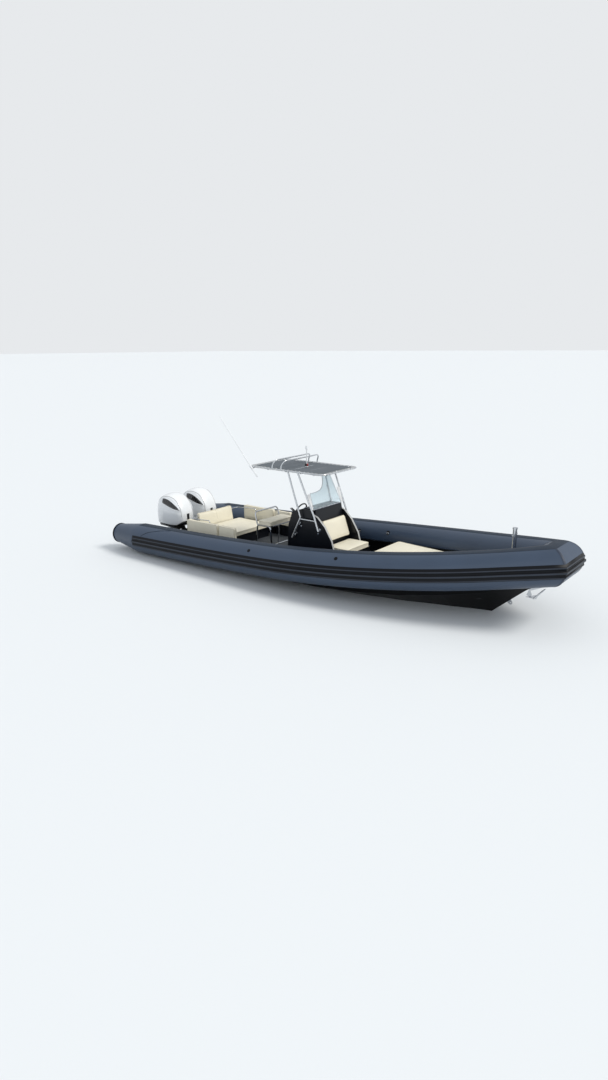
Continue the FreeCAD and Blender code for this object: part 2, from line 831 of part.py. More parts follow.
def locker_plan(inset, front_reach=0.0):
    aft_half = inner_edge(locker_aft_x) - locker_aft_margin - inset
    front_half = inner_edge(locker_front_x) - locker_front_margin - inset
    aft = locker_aft_x + inset
    front = locker_front_x - inset + front_reach
    return [(aft, aft_half), (front, front_half), (front, -front_half), (aft, -aft_half)]


def bow_locker():
    body = profile_xy(locker_plan(0), sole_z, locker_top_z)
    body = body.cut(profile_xy(locker_plan(locker_wall), sole_z + locker_wall, locker_top_z + 1))
    hinges = []
    for side in (1, -1):
        hinges += hinge_fixed(locker_front_x, locker_top_z + SEAT, side * locker_hinge_y())
    return fused([body] + hinges)


def locker_hinge_y():
    return locker_plan(0)[1][1] * locker_hinge_share


def bow_locker_lid():
    lid = profile_xy(locker_plan(0, hinge_reach + hinge_eye), locker_top_z + SEAT,
                     locker_top_z + locker_lid_thickness)
    lugs = [hinge_lug_ring(locker_front_x, locker_top_z + SEAT, side * locker_hinge_y()) for side in (1, -1)]
    return fused([lid] + lugs)


def bow_pad():
    low = locker_top_z + locker_lid_thickness + SEAT
    return profile_xy(locker_plan(5), low, low + bow_pad_thickness)


post_x = 4330.0
post_radius = 38.0
post_top_z = 1620.0


def foredeck_z(x):
    return side_station(x).centre.z


def samson_post():
    aft, front = post_x - 70, post_x + 70
    plate = profile_xz([(aft, foredeck_z(aft)), (front, foredeck_z(front)), (front, foredeck_z(front) + 12),
                        (aft, foredeck_z(aft) + 12)], 60)
    foot = foredeck_z(post_x) + 8
    post = Part.makeCylinder(post_radius, post_top_z - foot, Vector(post_x, 0, foot))
    cap = Part.makeCylinder(post_radius + 8, 24, Vector(post_x, 0, post_top_z - 10))
    pin = rod(Vector(post_x, -110, 1510), Vector(post_x, 110, 1510), 11)
    return fused([post, cap, pin, plate])


stem_low = Slope((4600.0, 520.0), (4000.0, 0.0))
stem_high = Slope((4900.0, 735.0), (4600.0, 520.0))


def anchor_roller():
    """Stainless channel under the stem head, with the roller at its front end."""
    base = profile_xz([stem_high.at(20, SEAT), stem_high.at(280, SEAT), stem_high.at(280, roller_base),
                       stem_high.at(20, roller_base)],
                      36)
    cheeks = [profile_xz([stem_high.at(-70, 20), stem_high.at(-80, 60), stem_high.at(60, 70),
                          stem_high.at(280, 30), stem_high.at(280, SEAT), stem_high.at(20, SEAT)], 4, y)
              for y in (-36, 36)]
    x, z = stem_high.at(-50, 42)
    roller = rod(Vector(x, -40, z), Vector(x, 40, z), 14)
    return fused(cheeks + [roller, base])


def anchor():
    """Roll-bar anchor stowed in the roller's channel, with its fluke under the stem."""
    low = roller_base + SEAT
    shank = profile_xz([stem_high.at(-60, low), stem_high.at(-60, 26), stem_high.at(290, 26), (4715, 470), (4690, 415),
                        (4625, 452), stem_high.at(300, low)], anchor_plate / 2)
    half = anchor_half
    fluke = Part.makeLoft([polygon([Vector(4612, -8, 414), Vector(4612, 8, 414), Vector(4612, 0, 404)]),
                           polygon([Vector(4800, -half, 452), Vector(4800, half, 452), Vector(4800, 0, 405)])],
                          True, True)
    bar = pipe([Vector(4785, -half + 20, 440), Vector(4925, -half + 20, 600), Vector(4925, half - 20, 600),
                Vector(4785, half - 20, 440)], anchor_bar, 70)
    return fused([shank, fluke, bar])


anchor_plate = 14.0
roller_base = 8.0
anchor_half = 130.0
anchor_bar = 11.0
eye_hole = 14.0
eye_rim = 32.0
eye_reach = 46.0
eye_thickness = 16.0
stern_eye_inset = 100.0
stern_eye_z = 190.0


def eye(slope, run, y):
    """Plate with a hole, standing on a slope at a distance along it."""
    x, z = slope.at(run, eye_reach)
    root = profile_xz([slope.at(run - 45, SEAT), slope.at(run + 45, SEAT), slope.at(run + eye_rim, eye_reach),
                       slope.at(run - eye_rim, eye_reach)], eye_thickness / 2, y)
    ring = rod(Vector(x, y - eye_thickness / 2, z), Vector(x, y + eye_thickness / 2, z), eye_rim)
    hole = rod(Vector(x, y - 50, z), Vector(x, y + 50, z), eye_hole)
    print("eye at x %.1f y %.1f z %.1f" % (x, y, z))
    return fused([root, ring]).cut(hole)


def stern_eye(side):
    """Flat plate on the transom with a hole from above."""
    y = side * (cockpit_half - stern_eye_inset)
    root_x, x = transom_x - SEAT, transom_x - eye_reach
    low, high = stern_eye_z - eye_thickness / 2, stern_eye_z + eye_thickness / 2
    root = profile_xy([(root_x, y - 45), (root_x, y + 45), (x, y + eye_rim), (x, y - eye_rim)], low, high)
    ring = rod(Vector(x, y, low), Vector(x, y, high), eye_rim)
    return fused([root, ring]).cut(rod(Vector(x, y, low - 20), Vector(x, y, high + 20), eye_hole))


def towing_eyes():
    return [eye(stem_low, 380.0, 0.0), stern_eye(1), stern_eye(-1)]


# Outboard engine, built about the centreline and moved to its side


def clamp_bracket():
    """Two ears hooked over the transom, with the tilt pin between them."""
    inner = transom_x + transom_thickness
    top = side_station(inner).point(tube_radius, 180).z
    ear = [(transom_x - 0.0, -120), (transom_x - 40, -120), (transom_x - 70, 250), (tilt_x - 60, tilt_z + 40),
           (tilt_x + 32, tilt_z + 38), (inner + 32, top + 30), (inner + 32, top - 200), (inner + 1, top - 200),
           (inner + 1, top + SEAT), (transom_x, top + SEAT)]
    ears = [profile_xz(ear, 9, y) for y in (-125, 125)]
    pin = rod(Vector(tilt_x, -140, tilt_z), Vector(tilt_x, 140, tilt_z), tilt_pin)
    return fused(ears + [pin])


def swivel_bracket():
    """Arms on the tilt pin and a sleeve round the swivel shaft."""
    top = tilt_z + swivel_top
    arm = profile_xz([(tilt_x + 38, tilt_z - 20), (tilt_x + 30, top), (steer_x, top), (steer_x, tilt_z - 90),
                      (tilt_x - 60, tilt_z - 60)], 112)
    web = profile_xz([(tilt_x - 62, tilt_z - 50), (steer_x, tilt_z - 50), (steer_x, swivel_low_z),
                      (transom_x - 55, swivel_low_z)], 60)
    sleeve = Part.makeCylinder(swivel_sleeve, top - swivel_low_z, Vector(steer_x, 0, swivel_low_z))
    body = fused([arm, web, sleeve])
    eye = rod(Vector(tilt_x, -200, tilt_z), Vector(tilt_x, 200, tilt_z), tilt_pin + PIN_PLAY)
    bore = Part.makeCylinder(swivel_shaft + PIN_PLAY, 900, Vector(steer_x, 0, swivel_low_z - 200))
    return body.cut(eye).cut(bore)


def foil(x_front, x_back, half, z):
    """Streamlined section: a blunt arc in front and straight flanks to a thin tail."""
    shoulder = x_front - (x_front - x_back) * 0.35
    tail = 8.0
    edges = [Part.Arc(Vector(shoulder, half, z), Vector(x_front, 0, z), Vector(shoulder, -half, z)).toShape(),
             Part.LineSegment(Vector(shoulder, -half, z), Vector(x_back, -tail, z)).toShape(),
             Part.LineSegment(Vector(x_back, -tail, z), Vector(x_back, tail, z)).toShape(),
             Part.LineSegment(Vector(x_back, tail, z), Vector(shoulder, half, z)).toShape()]
    return Part.Wire(edges)


def leg():
    """Driveshaft housing, swivel shaft, ventilation plate, gearcase and skeg."""
    front = steer_x - swivel_sleeve - 14
    tail_x = steer_x - leg_tail
    upper = loft([foil(front, tail_x - 20, leg_half * 1.19, pan_bottom_z - SEAT), foil(front, tail_x, leg_half, 100.0),
                  foil(front - 10, tail_x + 20, leg_half * 0.78, plate_z)])
    half_plan = [(front - 10, leg_half * 0.6), (front - 60, leg_half * 1.2), (tail_x + 50, leg_half * 1.5),
                 (tail_x - 110, leg_half * 1.4), (tail_x - 150, leg_half * 0.75)]
    plate = profile_xy(half_plan + [(x, -y) for x, y in reversed(half_plan)], plate_z - 8, plate_z + 8)
    strut = loft([foil(front - 10, tail_x + 20, leg_half * 0.69, plate_z),
                  foil(front - 20, tail_x + 35, leg_half * 0.6, shaft_z)])
    body = Part.makeCylinder(gearcase_radius, 190, Vector(prop_shaft_x + 40, 0, shaft_z), Vector(1, 0, 0))
    tail = Part.makeCone(gearcase_radius * 0.8, gearcase_radius, 40, Vector(prop_shaft_x, 0, shaft_z),
                         Vector(1, 0, 0))
    nose = Part.makeCone(gearcase_radius, gearcase_radius * 0.25, 170, Vector(prop_shaft_x + 230, 0, shaft_z),
                         Vector(1, 0, 0))
    skeg_top = shaft_z - gearcase_radius * 0.7
    skeg = profile_xz([(steer_x, skeg_top), (steer_x - 90, skeg_top - 140), (steer_x - 200, skeg_top - 150),
                       (steer_x - 250, skeg_top)], 8)
    prop_shaft = rod(Vector(prop_shaft_x + 20, 0, shaft_z), Vector(prop_shaft_x - 150, 0, shaft_z), 13)
    low = swivel_low_z - swivel_gap
    high = tilt_z + swivel_top + swivel_gap
    shaft = Part.makeCylinder(swivel_shaft, high + 5 - low + 45, Vector(steer_x, 0, low - 45))
    yoke_low = profile_xy([(steer_x + 40, 40), (front - 60, 60), (front - 60, -60), (steer_x + 40, -40)],
                          low - 48, low)
    yoke_high = profile_xy([(steer_x + 45, 60), (front - 60, 80), (front - 60, -80), (steer_x + 45, -60)],
                           high, pan_bottom_z - SEAT)
    return fused([upper, plate, strut, body, tail, nose, skeg, prop_shaft, shaft, yoke_low, yoke_high])


# Cowl outlines as shares of its length, height and half width, with how each point moves as the form grows
cowl_side_shape = [
    (0.035, 0.0, 0, 0), (0.0, 0.32, -1, 0), (0.03, 0.64, -1, 0), (0.075, 0.81, -0.8, 0.5),
    (0.15, 0.915, -0.6, 0.7), (0.29, 0.984, 0, 1), (0.46, 1.0, 0, 1), (0.64, 0.942, 0, 1),
    (0.825, 0.78, 0.7, 0.7), (0.95, 0.54, 1, 0), (1.0, 0.35, 1, 0), (1.0, 0.134, 1, 0), (0.8, 0.0, 0, 0),
]
cowl_plan_shape = [(0.0, 0.31, -1), (0.035, 0.15, -1), (0.11, 0.04, -1), (0.28, 0.0, 0), (0.58, 0.0, 0),
                   (0.87, 0.17, 0), (1.0, 0.51, 1)]
cowl_front_shape = [(0.0, -0.02, 0), (0.0, 0.46, 0), (0.1, 0.7, 0), (0.31, 0.886, 0), (0.55, 1.014, 1)]


def cowl_form(grow):
    """Cowl block: side outline, plan and front view cut from each other, moved out by grow."""
    length = cowl_front_x - cowl_aft_x
    height = cowl_top_z - cowl_bottom_z
    width = cowl_half + grow
    outline = [(cowl_aft_x + length * x + grow * out_x, cowl_bottom_z + height * z + grow * out_z)
               for x, z, out_x, out_z in cowl_side_shape]
    side = profile_xz(outline, cowl_half * 1.2)
    half_plan = [(cowl_aft_x + length * x + grow * out_x, width - cowl_half * inset)
                 for x, inset, out_x in cowl_plan_shape]
    plan = profile_xy(half_plan + [(x, -y) for x, y in reversed(half_plan)],
                      cowl_bottom_z - height * 0.02, cowl_top_z + height * 0.2)
    front = [(width - cowl_half * inset, cowl_bottom_z + height * z + grow * out_z)
             for inset, z, out_z in cowl_front_shape]
    points = front + [(-y, z) for y, z in reversed(front)]
    face = Part.Face(polygon([Vector(cowl_aft_x - length * 0.2, y, z) for y, z in points]))
    across = face.extrude(Vector(length * 1.4, 0, 0))
    return side.common(plan).common(across)


def cowl():
    hollow = cowl_form(-cowl_wall)
    hollow = fused([hollow, hollow.translated(Vector(0, 0, -cowl_wall * 1.4))])
    return cowl_form(0).cut(hollow)


def powerhead():
    reach = powerhead_half * 1.39
    return box(steer_x - reach, steer_x + reach, -powerhead_half, powerhead_half, cowl_bottom_z + SEAT, powerhead_top_z)


def lower_pan():
    length = cowl_front_x - cowl_aft_x
    half_plan = [(cowl_aft_x + length * x, pan_half * y)
                 for x, y in ((0.047, 0.7), (0.14, 0.97), (0.58, 1.0), (0.75, 0.93))]
    return profile_xy(half_plan + [(x, -y) for x, y in reversed(half_plan)], pan_bottom_z, cowl_bottom_z - SEAT)


def propeller():
    hub = rod(Vector(prop_shaft_x - 2, 0, shaft_z), Vector(prop_shaft_x - 140, 0, shaft_z), 56)
    blades = []
    mid_x = prop_shaft_x - 70
    for n in range(3):
        wires = []
        for r, chord, pitch in ((40, 100, 58), (115, 150, 38), (prop_radius, 70, 26)):
            turn = math.radians(pitch)
            along = Vector(math.sin(turn), math.cos(turn), 0) * (chord / 2)
            across = Vector(math.cos(turn), -math.sin(turn), 0) * (4.0 if r < prop_radius else 2.0)
            c = Vector(mid_x, 0, shaft_z + r)
            wires.append(polygon([c + along + across, c - along + across, c - along - across, c + along - across]))
        blade = loft(wires)
        blade.rotate(Vector(0, 0, shaft_z), Vector(1, 0, 0), 120 * n)
        blades.append(blade)
    body = fused([hub] + blades)
    return body.cut(rod(Vector(prop_shaft_x + 10, 0, shaft_z), Vector(prop_shaft_x - 160, 0, shaft_z),
                        13 + PIN_PLAY))


pieces = {}


def keep(name, shape):
    """Stores one node; a list becomes one node of separate solids."""
    if isinstance(shape, list):
        shape = Part.makeCompound(shape)
    pieces[name] = shape


keep("hull", hull())
keep("deck_sole", deck_sole())
port_tube = tube_side()
keep("tube_port", port_tube)
keep("tube_starboard", mirrored(port_tube))
keep("tube_bow", tube_bow())
port_cap = tube_cap()
keep("tube_end_caps", [port_cap, mirrored(port_cap)])
keep("rub_strake", whole_band(strake_shape, strake_height))
keep("wear_strip", whole_band(wear_shape, wear_height))
keep("console", fused([console(), helm_pod()]))
keep("windscreen", windscreen())
keep("steering_wheel", steering_wheel())
keep("throttle", throttle())
keep("front_seat", front_seat())
keep("ttop_legs_port", ttop_legs(1))
keep("ttop_legs_starboard", ttop_legs(-1))
keep("screen_frames", [screen_frame(1), screen_frame(-1)])
keep("ttop_ring", fused([ttop_ring(), antenna_bracket()]))
keep("canopy", canopy())
keep("ttop_hoops", ttop_hoops())
keep("antenna", antenna())
keep("mast_light", nav_light())
keep("helm_seat_frame", helm_seat_frame())
keep("helm_seat_cushion", helm_seat_cushion())
keep("bench_box", bench())
keep("bench_lid", bench_lid())
keep("bench_cushion", bench_cushion())
keep("backrest", backrest())
keep("backrest_rails", backrest_rails())
keep("side_coamings", side_coamings())
keep("side_pads", side_pads())
keep("bow_locker", bow_locker())
keep("bow_locker_lid", bow_locker_lid())
keep("bow_pad", bow_pad())
keep("samson_post", samson_post())
keep("anchor_roller", anchor_roller())
keep("anchor", anchor())
keep("towing_eyes", towing_eyes())

engine_nodes = {
    "clamp_bracket": clamp_bracket(),
    "swivel_bracket": swivel_bracket(),
    "leg": leg(),
    "lower_pan": lower_pan(),
    "cowl": cowl(),
    "powerhead": powerhead(),
    "propeller": propeller(),
}
for name, shape in engine_nodes.items():
    for word, side in (("port", 1), ("starboard", -1)):
        keep(name + "_" + word, shape.translated(Vector(0, side * engine_half_spacing, 0)))

for name, shape in pieces.items():
    shape.exportStep("parts/" + name + ".step")
    span = shape.BoundBox
    print("%-26s solids %d valid %s volume %.1f l  x %.0f..%.0f y %.0f..%.0f z %.0f..%.0f" % (
        name, len(shape.Solids), shape.isValid(), shape.Volume / 1e6,
        span.XMin, span.XMax, span.YMin, span.YMax, span.ZMin, span.ZMax))
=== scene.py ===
import math

import bmesh
import bpy
from mathutils import Matrix, Vector
from mathutils.bvhtree import BVHTree


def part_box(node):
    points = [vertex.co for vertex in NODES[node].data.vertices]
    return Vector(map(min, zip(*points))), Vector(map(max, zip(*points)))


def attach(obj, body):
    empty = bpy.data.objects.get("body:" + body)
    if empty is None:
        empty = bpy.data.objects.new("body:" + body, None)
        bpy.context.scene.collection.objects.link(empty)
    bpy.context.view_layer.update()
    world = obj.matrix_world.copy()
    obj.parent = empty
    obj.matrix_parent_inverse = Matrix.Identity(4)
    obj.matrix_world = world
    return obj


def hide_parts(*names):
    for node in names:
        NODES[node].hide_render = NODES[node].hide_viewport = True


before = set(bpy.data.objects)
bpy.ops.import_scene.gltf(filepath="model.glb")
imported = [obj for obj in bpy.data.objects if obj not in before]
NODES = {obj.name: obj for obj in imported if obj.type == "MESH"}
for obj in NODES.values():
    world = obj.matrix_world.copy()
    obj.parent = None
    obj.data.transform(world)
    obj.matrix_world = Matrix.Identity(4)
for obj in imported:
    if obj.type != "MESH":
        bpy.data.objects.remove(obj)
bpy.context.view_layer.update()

scene = bpy.context.scene


# Camera, floor and light

CAMERA_AT = (8.93, -11.73, 4.73)
FOCAL_PIXELS, LONG_SIDE_PIXELS, SENSOR_MM = 708.0, 1080.0, 36.0


def add_camera():
    """Camera at the photograph's place, from its fitted position, azimuth, pitch and roll."""
    azimuth, pitch, roll = math.radians(128.55), math.radians(15.30), math.radians(0.40)
    ahead = Vector((math.cos(azimuth) * math.cos(pitch), math.sin(azimuth) * math.cos(pitch),
                    -math.sin(pitch)))
    level = Vector((math.sin(azimuth), -math.cos(azimuth), 0))
    down = ahead.cross(level)
    right = math.cos(roll) * level + math.sin(roll) * down
    up = math.sin(roll) * level - math.cos(roll) * down
    data = bpy.data.cameras.new("camera")
    data.sensor_width = SENSOR_MM
    data.lens = FOCAL_PIXELS * SENSOR_MM / LONG_SIDE_PIXELS
    data.clip_end = 2000.0
    camera = bpy.data.objects.new("camera", data)
    scene.collection.objects.link(camera)
    turn = Matrix((right, up, -ahead)).transposed().to_4x4()
    camera.matrix_world = Matrix.Translation(CAMERA_AT) @ turn
    scene.camera = camera


def set_inputs(node, **values):
    """Sets a node's inputs by name, with _ for each space, and returns the node."""
    for name, value in values.items():
        node.inputs[name.replace("_", " ")].default_value = value
    return node


def seen_background(nodes, links, plain, shown):
    """Mixes in the shown shader where the camera looks at it, also through glass."""
    path = nodes.new("ShaderNodeLightPath")
    most = nodes.new("ShaderNodeMath")
    most.operation = "MAXIMUM"
    links.new(path.outputs["Is Camera Ray"], most.inputs[0])
    links.new(path.outputs["Is Transmission Ray"], most.inputs[1])
    mix = nodes.new("ShaderNodeMixShader")
    links.new(most.outputs[0], mix.inputs[0])
    links.new(plain, mix.inputs[1])
    links.new(shown, mix.inputs[2])
    return mix.outputs[0]


def add_studio():
    world = bpy.data.worlds.new("studio")
    world.use_nodes = True
    scene.world = world
    nodes, links = world.node_tree.nodes, world.node_tree.links
    nodes.clear()
    out = nodes.new("ShaderNodeOutputWorld")
    light = set_inputs(nodes.new("ShaderNodeBackground"), Color=(0.93, 0.96, 1.0, 1), Strength=0.72)
    wall = set_inputs(nodes.new("ShaderNodeBackground"), Color=(0.80, 0.82, 0.84, 1), Strength=1.0)
    links.new(seen_background(nodes, links, light.outputs[0], wall.outputs[0]), out.inputs[0])

    half = 600.0
    mesh = bpy.data.meshes.new("floor")
    corners = [(-half, -half, 0), (half, -half, 0), (half, half, 0), (-half, half, 0)]
    mesh.from_pydata(corners, [], [(0, 1, 2, 3)])
    floor = bpy.data.objects.new("floor", mesh)
    scene.collection.objects.link(floor)
    material = bpy.data.materials.new("floor")
    material.use_nodes = True
    set_inputs(material.node_tree.nodes["Principled BSDF"], Base_Color=(0.76, 0.79, 0.81, 1), Roughness=0.85,
               Specular_IOR_Level=0.2)
    mesh.materials.append(material)

    for name, strength, spread, direction, colour in (
            ("key", 1.9, 22.0, (0.62, 0.26, 0.74), (1.0, 0.97, 0.92)),
            ("fill", 0.35, 60.0, (0.35, -0.85, 0.40), (0.88, 0.94, 1.0))):
        data = bpy.data.lights.new(name, "SUN")
        data.energy = strength
        data.angle = math.radians(spread)
        data.color = colour
        lamp = bpy.data.objects.new(name, data)
        scene.collection.objects.link(lamp)
        lamp.matrix_world = Vector(direction).to_track_quat("Z", "Y").to_matrix().to_4x4()
    scene.view_settings.view_transform = "Standard"


add_camera()
add_studio()


# Materials


def linear(red, green, blue):
    """Screen colour from 0 to 255 as a linear colour."""
    out = []
    for value in (red, green, blue):
        value /= 255.0
        out.append(value / 12.92 if value <= 0.04045 else ((value + 0.055) / 1.055) ** 2.4)
    return tuple(out)


def finish(name, colour, roughness, metallic=0.0, coat=0.0, sheen=0.0, mottle=0.10, mottle_scale=3.0,
           grain=None, grain_scale=60.0, depth=0.002, vary_rough=0.06, low_darkening=None, specular=0.5):
    """Procedural finish: a mottled colour, uneven gloss and a surface grain.

    grain is fine, leather, weave, brushed or tread; low_darkening darkens by height between two z values.
    """
    material = bpy.data.materials.new(name)
    material.use_nodes = True
    nodes, links = material.node_tree.nodes, material.node_tree.links
    shader = nodes["Principled BSDF"]
    place = nodes.new("ShaderNodeTexCoord").outputs["Object"]

    def textured(kind, source=place, **values):
        """Node that reads a place, with its inputs set."""
        node = set_inputs(nodes.new(kind), **values)
        links.new(source, node.inputs["Vector"])
        return node

    def noise(scale, detail=3.0, stretch=None):
        source = place
        if stretch:
            source = textured("ShaderNodeMapping", Scale=stretch).outputs["Vector"]
        return textured("ShaderNodeTexNoise", source, Scale=scale, Detail=detail).outputs["Fac"]

    base = linear(*colour)
    dark = tuple(c * (1 - mottle) for c in base) + (1,)
    light = tuple(min(1.0, c * (1 + mottle)) for c in base) + (1,)
    ramp = nodes.new("ShaderNodeValToRGB")
    ramp.color_ramp.elements[0].position, ramp.color_ramp.elements[1].position = 0.30, 0.70
    ramp.color_ramp.elements[0].color, ramp.color_ramp.elements[1].color = dark, light
    links.new(noise(mottle_scale, 5.0), ramp.inputs["Fac"])
    colour_out = ramp.outputs["Color"]
    # Multiplies the colour darker below a height: on the tube this is painted shade on its lower side
    if low_darkening:
        low, high, share = low_darkening
        parts = nodes.new("ShaderNodeSeparateXYZ")
        links.new(place, parts.inputs[0])
        rise = set_inputs(nodes.new("ShaderNodeMapRange"), From_Min=low, From_Max=high, To_Min=share,
                          To_Max=0.0)
        links.new(parts.outputs["Z"], rise.inputs["Value"])
        mix = nodes.new("ShaderNodeMix")
        mix.data_type = "RGBA"
        mix.blend_type = "MULTIPLY"
        mix.inputs["B"].default_value = (0.45, 0.44, 0.40, 1)
        links.new(rise.outputs[0], mix.inputs["Factor"])
        links.new(colour_out, mix.inputs["A"])
        colour_out = mix.outputs["Result"]
    links.new(colour_out, shader.inputs["Base Color"])

    spread = set_inputs(nodes.new("ShaderNodeMapRange"), To_Min=max(0.02, roughness - vary_rough),
                        To_Max=min(1.0, roughness + vary_rough))
    links.new(noise(mottle_scale * 4, 4.0), spread.inputs["Value"])
    links.new(spread.outputs[0], shader.inputs["Roughness"])
    set_inputs(shader, Metallic=metallic, Specular_IOR_Level=specular, Coat_Weight=coat, Coat_Roughness=0.06,
               Sheen_Weight=sheen)

    if grain:
        if grain == "fine":
            height = noise(grain_scale, 4.0)
        elif grain == "leather":
            height = textured("ShaderNodeTexVoronoi", Scale=grain_scale).outputs["Distance"]
        elif grain == "brushed":
            height = noise(grain_scale, 2.0, (1.0, 1.0, 0.06))
        else:
            weave = grain == "weave"
            most = nodes.new("ShaderNodeMath")
            most.operation = "MAXIMUM" if weave else "MULTIPLY"
            for slot, axis in enumerate("XY"):
                wave = textured("ShaderNodeTexWave", Scale=grain_scale, Distortion=0.6 if weave else 0.0)
                wave.bands_direction = axis
                links.new(wave.outputs["Fac"], most.inputs[slot])
            height = most.outputs[0]
        bump = set_inputs(nodes.new("ShaderNodeBump"), Strength=0.6, Distance=depth)
        links.new(height, bump.inputs["Height"])
        links.new(bump.outputs["Normal"], shader.inputs["Normal"])
    return material


def clear_acrylic():
    """Lightly tinted acrylic with fine wipe marks."""
    material = finish("clear_acrylic", (225, 238, 243), 0.05, vary_rough=0.02, mottle=0.03)
    set_inputs(material.node_tree.nodes["Principled BSDF"], Transmission_Weight=0.82, IOR=1.20)
    return material


M = {
    # Tube fabric, darkened towards its bottom as painted shade on the lower side
    "tube": finish("tube_fabric", (50, 66, 87), 0.42, grain="fine", grain_scale=260, depth=0.0006,
                   mottle=0.07, mottle_scale=1.3, vary_rough=0.06, coat=0.12, low_darkening=(0.05, 0.62, 0.45)),
    "seam": finish("seam_tape", (38, 50, 68), 0.5, grain="fine", grain_scale=200, depth=0.0008,
                   mottle_scale=6),
    "wear": finish("wear_strip", (37, 48, 62), 0.62, grain="tread", grain_scale=14, depth=0.002,
                   mottle_scale=4, specular=0.35),
    # Lighter rubber on the tops of the strake's ribs: a painted highlight
    "rib_highlight": finish("rubber_painted_highlight", (38, 46, 58), 0.48, grain="fine", grain_scale=120, depth=0.001, mottle=0.15,
                  mottle_scale=5, specular=0.4),
    "rubber": finish("black_rubber", (6, 9, 16), 0.42, grain="fine", grain_scale=120, depth=0.001,
                     mottle=0.15, mottle_scale=5, specular=0.2),
    "hull": finish("hull_gelcoat", (5, 6, 7), 0.34, mottle=0.2, mottle_scale=1.2, vary_rough=0.05,
                   specular=0.2),
    "gelcoat": finish("black_gelcoat", (10, 13, 20), 0.36, coat=0.08, mottle=0.2, mottle_scale=2.5,
                      specular=0.3),
    "navy": finish("navy_top", (25, 37, 60), 0.38, specular=0.3, mottle=0.12, grain="fine", grain_scale=140,
                   depth=0.0006),
    "deck": finish("deck_grip", (58, 62, 66), 0.72, grain="tread", grain_scale=18, depth=0.004, mottle=0.12),
    "vinyl": finish("cream_vinyl", (229, 223, 203), 0.52, grain="leather", grain_scale=220, depth=0.0009,
                    mottle=0.045, mottle_scale=2.2, sheen=0.05),
    "welt": finish("cream_welt", (208, 201, 180), 0.58, grain="fine", grain_scale=240, depth=0.0006,
                   mottle=0.05, mottle_scale=9),
    "canvas": finish("grey_canvas", (82, 90, 97), 0.86, grain="weave", grain_scale=160, depth=0.0012,
                     mottle=0.07, mottle_scale=2.0, sheen=0.08),
    "cord": finish("white_cord", (222, 222, 218), 0.75, grain="fine", grain_scale=400, depth=0.001,
                   mottle_scale=30),
    "tubework": finish("satin_tubework", (206, 209, 212), 0.27, metallic=0.85, grain="brushed",
                       grain_scale=180, depth=0.0004, mottle=0.05, mottle_scale=6),
    "steel": finish("polished_steel", (196, 199, 203), 0.17, metallic=1.0, grain="brushed", grain_scale=200,
                    depth=0.0003, mottle=0.06, mottle_scale=8),
    # White moulding, a little darker towards the cowl's foot
    "white": finish("white_moulding", (233, 236, 238), 0.22, coat=0.9, mottle=0.025, mottle_scale=2.0,
                    vary_rough=0.04, low_darkening=(0.54, 0.72, 0.10)),
    "white_plain": finish("white_plastic", (226, 228, 229), 0.34, coat=0.3, mottle=0.04, mottle_scale=9),
    "gloss_black": finish("gloss_black", (14, 14, 16), 0.14, coat=0.8, mottle=0.2, mottle_scale=7),
    "plastic": finish("black_plastic", (28, 29, 31), 0.46, grain="fine", grain_scale=320, depth=0.0008,
                      mottle=0.12, mottle_scale=12),
    "black_metal": finish("black_paint", (24, 25, 27), 0.36, coat=0.3, grain="fine", grain_scale=90,
                          depth=0.0006, mottle=0.15, mottle_scale=6),
    "engine_paint": finish("engine_paint", (214, 217, 220), 0.30, coat=0.6, grain="fine", grain_scale=70,
                           depth=0.0006, mottle=0.04, mottle_scale=5),
    "cast": finish("cast_metal", (96, 98, 100), 0.55, metallic=0.7, grain="fine", grain_scale=110,
                   depth=0.002, mottle=0.2, mottle_scale=20),
    "grey_edge": finish("grey_edging", (172, 173, 172), 0.38, coat=0.3, mottle=0.05, mottle_scale=6),
    "screen_glass": finish("display_glass", (20, 26, 36), 0.08, coat=1.0, mottle=0.1, mottle_scale=10),
    "lens": finish("lamp_lens", (236, 240, 242), 0.18, coat=0.8, mottle=0.03, mottle_scale=20),
    "red": finish("red_lens", (150, 30, 28), 0.2, coat=0.8, mottle=0.05, mottle_scale=20),
    "acrylic": clear_acrylic(),
}

# Finish of each CAD node, by material; nodes that a finer piece replaces have theirs too
CAD_FINISH = {
    "hull": "hull", "deck": "deck_sole", "rubber": "tube_end_caps rub_strake", "wear": "wear_strip",
    "tube": "tube_port tube_starboard tube_bow", "acrylic": "windscreen", "canvas": "canopy",
    "gelcoat": "console bench_box bench_lid side_coamings bow_locker bow_locker_lid",
    "white_plain": "screen_frames antenna mast_light", "plastic": "steering_wheel throttle",
    "tubework": "ttop_legs_port ttop_legs_starboard ttop_ring ttop_hoops", "cast": "powerhead_SIDE",
    "steel": "helm_seat_frame backrest_rails samson_post anchor_roller anchor towing_eyes propeller_SIDE",
    "vinyl": "front_seat helm_seat_cushion bench_cushion backrest side_pads bow_pad",
    "black_metal": "clamp_bracket_SIDE swivel_bracket_SIDE lower_pan_SIDE", "engine_paint": "leg_SIDE",
    "white": "cowl_SIDE",
}
for key, words in CAD_FINISH.items():
    for word in words.split():
        for side in ("port", "starboard") if "SIDE" in word else ("",):
            shape = NODES[word.replace("SIDE", side)]
            shape.data.materials.clear()
            shape.data.materials.append(M[key])


# Mesh tools


def add_skin(bm, rings, material=0, closed=True, ends=True):
    """Faces between rows of points; closed joins each row's last point to its first."""
    rows = [[bm.verts.new(p) for p in ring] for ring in rings]
    count = len(rows[0])
    for first, second in zip(rows, rows[1:]):
        for i in range(count if closed else count - 1):
            j = (i + 1) % count
            face = bm.faces.new((first[i], first[j], second[j], second[i]))
            face.material_index = material
    if ends and closed:
        for row in (rows[0], rows[-1]):
            bm.faces.new(row).material_index = material


def turns(count):
    """Angles of a full turn in even steps."""
    return [2 * math.pi * k / count for k in range(count)]


